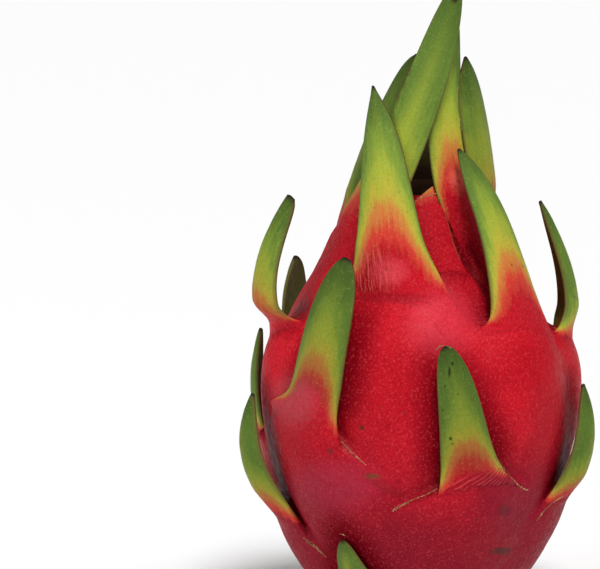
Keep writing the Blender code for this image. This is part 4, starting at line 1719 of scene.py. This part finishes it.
@dataclass
class WitheredFlower:
    """The shrunken flower in the navel: a pleated brown tube with withered threads in its mouth."""

    place: np.ndarray
    radius: float = 6.6
    foot: float = 103.6
    height: float = 15.0
    threads: int = 90
    thread_length: float = 7.5
    seed: int = 23
    finish: DryFinish = DryFinish("withered_brown", srgb(34, 20, 12), srgb(98, 64, 38))

    def tube(self) -> bpy.types.Object:
        """Build the pleated tube in the place of the plain one.

        Returns:
            The finished piece.
        """
        azimuth = np.arange(120) * 3.0
        rows = []
        for share in np.linspace(0.0, 1.0, 26):
            swell = self.radius * (0.5 + 0.5 * math.sin(1.9 * share))
            turn = 25.0 * (share * 6.0)
            pleat = (0.2 + 0.9 * share) * np.cos(np.radians(azimuth * 6.0 + turn))
            crumple = 0.28 * share * np.sin(np.radians(azimuth * 17.0 + 90.0 * share))
            ragged = 1.6 * share ** 3 * np.sin(np.radians(azimuth * 5.0 + 40.0))
            torn = 0.5 * share ** 6 * np.sin(np.radians(azimuth * 23.0))
            rows.append(polar(azimuth + 9.0 * share, swell + pleat + crumple,
                              self.foot + self.height * share + ragged + torn))
        for share in np.linspace(0.94, 0.62, 9):
            radius = self.radius * 0.5 + 0.5 * np.cos(np.radians(azimuth * 6.0))
            rows.append(polar(azimuth, radius * share, np.array(self.foot + self.height * share - 3.0)))
        rings = np.stack(rows)
        ends = np.array([[0.0, 0.0, self.foot], [0.0, 0.0, self.foot + self.height * 0.4]])
        tube = Surface.loft(rings, ends, {}).make("withered_flower", self.place)
        dress(tube, self.finish.material())
        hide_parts("dried_flower")
        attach(tube, "root")
        return tube

    def thread_tree(self, material: bpy.types.Material) -> FormTree:
        """Build the tree that scatters bent threads over the mouth of the tube.

        Args:
            material: The threads' material.

        Returns:
            The tree.
        """
        tree = FormTree("withered_threads", {
            "Count": ("NodeSocketInt", self.threads),
            "Spread": ("NodeSocketFloat", 3.6 * MM),
            "Thread Length": ("NodeSocketFloat", self.thread_length * MM),
            "Thread Radius": ("NodeSocketFloat", 0.16 * MM),
            "Lean": ("NodeSocketFloat", 0.75),
            "Seed": ("NodeSocketInt", self.seed),
            "Material": ("NodeSocketMaterial", material),
        })
        angle = tree.node("FunctionNodeRandomValue", data_type="FLOAT")
        angle.inputs[3].default_value = 2.0 * math.pi
        tree.link(tree.given("Seed"), angle.inputs["Seed"])
        reach = tree.node("FunctionNodeRandomValue", data_type="FLOAT")
        tree.link(tree.sums("ADD", tree.given("Seed"), 3.0), reach.inputs["Seed"])
        out = tree.sums("MULTIPLY", tree.sums("SQRT", reach.outputs[1]), tree.given("Spread"))
        spot = tree.node("ShaderNodeCombineXYZ")
        tree.link(tree.sums("MULTIPLY", tree.sums("COSINE", angle.outputs[1]), out), spot.inputs["X"])
        tree.link(tree.sums("MULTIPLY", tree.sums("SINE", angle.outputs[1]), out), spot.inputs["Y"])
        points = tree.node("GeometryNodePoints")
        tree.link(tree.given("Count"), points.inputs["Count"])
        tree.link(spot.outputs[0], points.inputs["Position"])

        bend = tree.node("GeometryNodeCurveQuadraticBezier")
        bend.inputs["Resolution"].default_value = 6
        half = tree.node("ShaderNodeCombineXYZ")
        tree.link(tree.sums("MULTIPLY", tree.given("Thread Length"), 0.6), half.inputs["Z"])
        full = tree.node("ShaderNodeCombineXYZ")
        tree.link(tree.sums("MULTIPLY", tree.given("Thread Length"), 0.42), full.inputs["X"])
        tree.link(tree.given("Thread Length"), full.inputs["Z"])
        bend.inputs["Start"].default_value = (0.0, 0.0, 0.0)
        tree.link(half.outputs[0], bend.inputs["Middle"])
        tree.link(full.outputs[0], bend.inputs["End"])
        ring = tree.node("GeometryNodeCurvePrimitiveCircle")
        ring.inputs["Resolution"].default_value = 5
        tree.link(tree.given("Thread Radius"), ring.inputs["Radius"])
        thread = tree.node("GeometryNodeCurveToMesh")
        thread.inputs["Fill Caps"].default_value = True
        tree.link(bend.outputs[0], thread.inputs["Curve"])
        tree.link(ring.outputs[0], thread.inputs["Profile Curve"])

        tilt = tree.node("FunctionNodeRandomValue", data_type="FLOAT")
        tree.link(tree.sums("ADD", tree.given("Seed"), 7.0), tilt.inputs["Seed"])
        turned = tree.node("ShaderNodeCombineXYZ")
        tree.link(tree.sums("MULTIPLY", tilt.outputs[1], tree.given("Lean")), turned.inputs["Y"])
        tree.link(angle.outputs[1], turned.inputs["Z"])
        size = tree.node("FunctionNodeRandomValue", data_type="FLOAT")
        size.inputs[2].default_value = 0.55
        size.inputs[3].default_value = 1.0
        tree.link(tree.sums("ADD", tree.given("Seed"), 9.0), size.inputs["Seed"])
        scatter = tree.node("GeometryNodeInstanceOnPoints")
        tree.link(points.outputs[0], scatter.inputs["Points"])
        tree.link(thread.outputs[0], scatter.inputs["Instance"])
        tree.link(turned.outputs[0], scatter.inputs["Rotation"])
        tree.link(size.outputs[1], scatter.inputs["Scale"])
        foot = tree.node("GeometryNodeTransform")
        foot.inputs["Translation"].default_value = tuple(
            (self.place + np.array([0.0, 0.0, self.foot + self.height * 0.42])) * MM)
        tree.link(scatter.outputs[0], foot.inputs["Geometry"])
        tree.end(foot.outputs[0])
        return tree

    def thread_tuft(self) -> bpy.types.Object:
        """Build the tuft of threads.

        Returns:
            The finished piece.
        """
        tuft = stand("withered_threads", bpy.data.meshes.new("withered_threads"))
        finish = DryFinish("withered_thread", srgb(60, 38, 20), srgb(128, 92, 54), 600.0)
        self.thread_tree(finish.material()).apply(tuft)
        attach(tuft, "root")
        return tuft


@dataclass
class CutStem:
    """The three-ribbed stump of the stem in the pit below."""

    place: np.ndarray
    radius: float = 5.4
    top: float = 5.9
    bottom: float = 1.0
    finish: DryFinish = DryFinish("cut_stem", srgb(104, 92, 50), srgb(168, 150, 96), 500.0, 0.75)

    def build(self) -> bpy.types.Object:
        """Build the stump in the place of the plain one.

        Returns:
            The finished piece.
        """
        azimuth = np.arange(96) * 3.75
        ribbed = self.radius * (0.9 + 0.1 * np.cos(np.radians(azimuth * 3.0)))
        shares = spline(((self.top, 0.86), (4.6, 0.94), (2.4, 1.0), (1.3, 0.96), (self.bottom, 0.82)), 5)
        rows = [polar(azimuth, ribbed * share, np.array(height)) for height, share in shares]
        for share in (0.66, 0.5, 0.34, 0.18):
            dish = self.bottom + 0.5 * (1.0 - share / 0.82)
            rows.append(polar(azimuth, ribbed * share, np.array(dish)))
        ends = np.array([[0.0, 0.0, self.top], [0.0, 0.0, self.bottom + 0.5]])
        stump = Surface.loft(np.stack(rows), ends, {}).make("cut_stem", self.place)
        dress(stump, self.finish.material())
        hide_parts("stem_stub")
        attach(stump, "root")
        return stump


@dataclass
class Studio:
    """The pale floor, the soft lights and the camera at the photograph's angle."""

    place: np.ndarray
    pixels_per_mm: float = 3.49
    axis_pixel: float = 419.0
    foot_pixel: float = 608.0
    picture: Tuple[int, int] = (600, 569)
    elevation: float = VIEW_ELEVATION
    distance: float = 3.6
    sensor: float = 36.0
    sun_power: float = 2.7
    sun_width: float = 18.0
    sun_azimuth: float = 14.0
    sun_elevation: float = 55.0

    def camera(self) -> bpy.types.Object:
        """Stand the camera where it sees the fruit as the photograph does.

        Returns:
            The camera.
        """
        wide, tall = self.picture
        right = (wide / 2.0 - self.axis_pixel) / self.pixels_per_mm
        above = (self.foot_pixel - tall / 2.0) / self.pixels_per_mm
        tilt = math.radians(self.elevation)
        back = Vector((0.0, -math.cos(tilt), math.sin(tilt)))
        up = Vector((0.0, math.sin(tilt), math.cos(tilt)))
        aim = (Vector(self.place) + Vector((right, 0.0, 0.0)) + up * above) * MM
        data = bpy.data.cameras.new("camera")
        data.sensor_width = self.sensor
        data.lens = self.sensor * self.distance / (wide / self.pixels_per_mm * MM)
        data.clip_start = 0.05
        thing = stand("camera", data)
        thing.location = aim + back * self.distance
        thing.rotation_euler = (-back).to_track_quat("-Z", "Y").to_euler()
        bpy.context.scene.camera = thing
        return thing

    def lamp(self, name: str, spot: Tuple[float, float, float], size: float,
             power: float) -> bpy.types.Object:
        """Hang one soft square lamp that faces the fruit.

        Args:
            name: Its name.
            spot: Where it hangs, in metres.
            size: The length of its sides in metres.
            power: Its power in watts.

        Returns:
            The lamp.
        """
        data = bpy.data.lights.new(name, "AREA")
        data.shape = "SQUARE"
        data.size = size
        data.energy = power
        thing = stand(name, data)
        thing.location = spot
        thing.rotation_euler = (Vector((0.0, 0.0, 0.085)) - Vector(spot)).to_track_quat("-Z", "Y").to_euler()
        return thing

    def sun(self) -> bpy.types.Object:
        """Hang the broad soft main light, which falls evenly on the fruit and the whole floor.

        Returns:
            The light.
        """
        data = bpy.data.lights.new("main_light", "SUN")
        data.energy = self.sun_power
        data.angle = math.radians(self.sun_width)
        thing = stand("main_light", data)
        turn, rise = math.radians(self.sun_azimuth), math.radians(self.sun_elevation)
        towards = Vector((math.sin(turn) * math.cos(rise), -math.cos(turn) * math.cos(rise), math.sin(rise)))
        thing.location = towards
        thing.rotation_euler = (-towards).to_track_quat("-Z", "Y").to_euler()
        return thing

    def floor(self) -> bpy.types.Object:
        """Lay the floor.

        Returns:
            The floor, which is no part of the fruit.
        """
        mesh = bmesh.new()
        bmesh.ops.create_grid(mesh, x_segments=8, y_segments=8, size=6.0)
        data = bpy.data.meshes.new("floor")
        mesh.to_mesh(data)
        mesh.free()
        thing = stand("floor", data)
        thing.data.materials.append(FloorFinish().material())
        return thing

    def build(self) -> None:
        """Set up the floor, the lamps, the sky, the colours and the camera."""
        self.floor()
        self.sun()
        self.lamp("side_lamp", (-0.95, -0.45, 0.35), 0.8, 2.2)
        world = bpy.data.worlds.new("sky")
        world.use_nodes = True
        world.node_tree.nodes["Background"].inputs[0].default_value = (1.0, 1.0, 1.0, 1.0)
        world.node_tree.nodes["Background"].inputs[1].default_value = 0.32
        scene = bpy.context.scene
        scene.world = world
        scene.view_settings.view_transform = "Standard"
        scene.view_settings.look = "None"
        self.camera()


def main() -> None:
    """Build every piece in order and report it."""
    logging.basicConfig(level=logging.INFO, format="%(name)s: %(message)s")
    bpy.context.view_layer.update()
    place = np.array(PLACE)
    outline = BodyOutline()
    layout = ScaleLayout()
    scales = layout.seen() + layout.hidden(outline)
    skin = Skin(outline, scales)
    Studio(place).build()
    log.info("stage: floor, lamps and camera stand")
    fruit = Fruit(skin, place).build()
    log.info("fruit: %d scales, %d faces", len(scales), len(fruit.data.polygons))
    cork = CorkLines(fruit, place).build()
    log.info("cork lines: %d faces", len(cork.data.polygons))
    flower = WitheredFlower(place)
    tube = flower.tube()
    log.info("withered flower: %d faces", len(tube.data.polygons))
    tuft = flower.thread_tuft()
    log.info("withered threads: %d faces", len(tuft.data.polygons))
    stump = CutStem(place).build()
    log.info("cut stem: %d faces", len(stump.data.polygons))


if __name__ == "__main__":
    main()
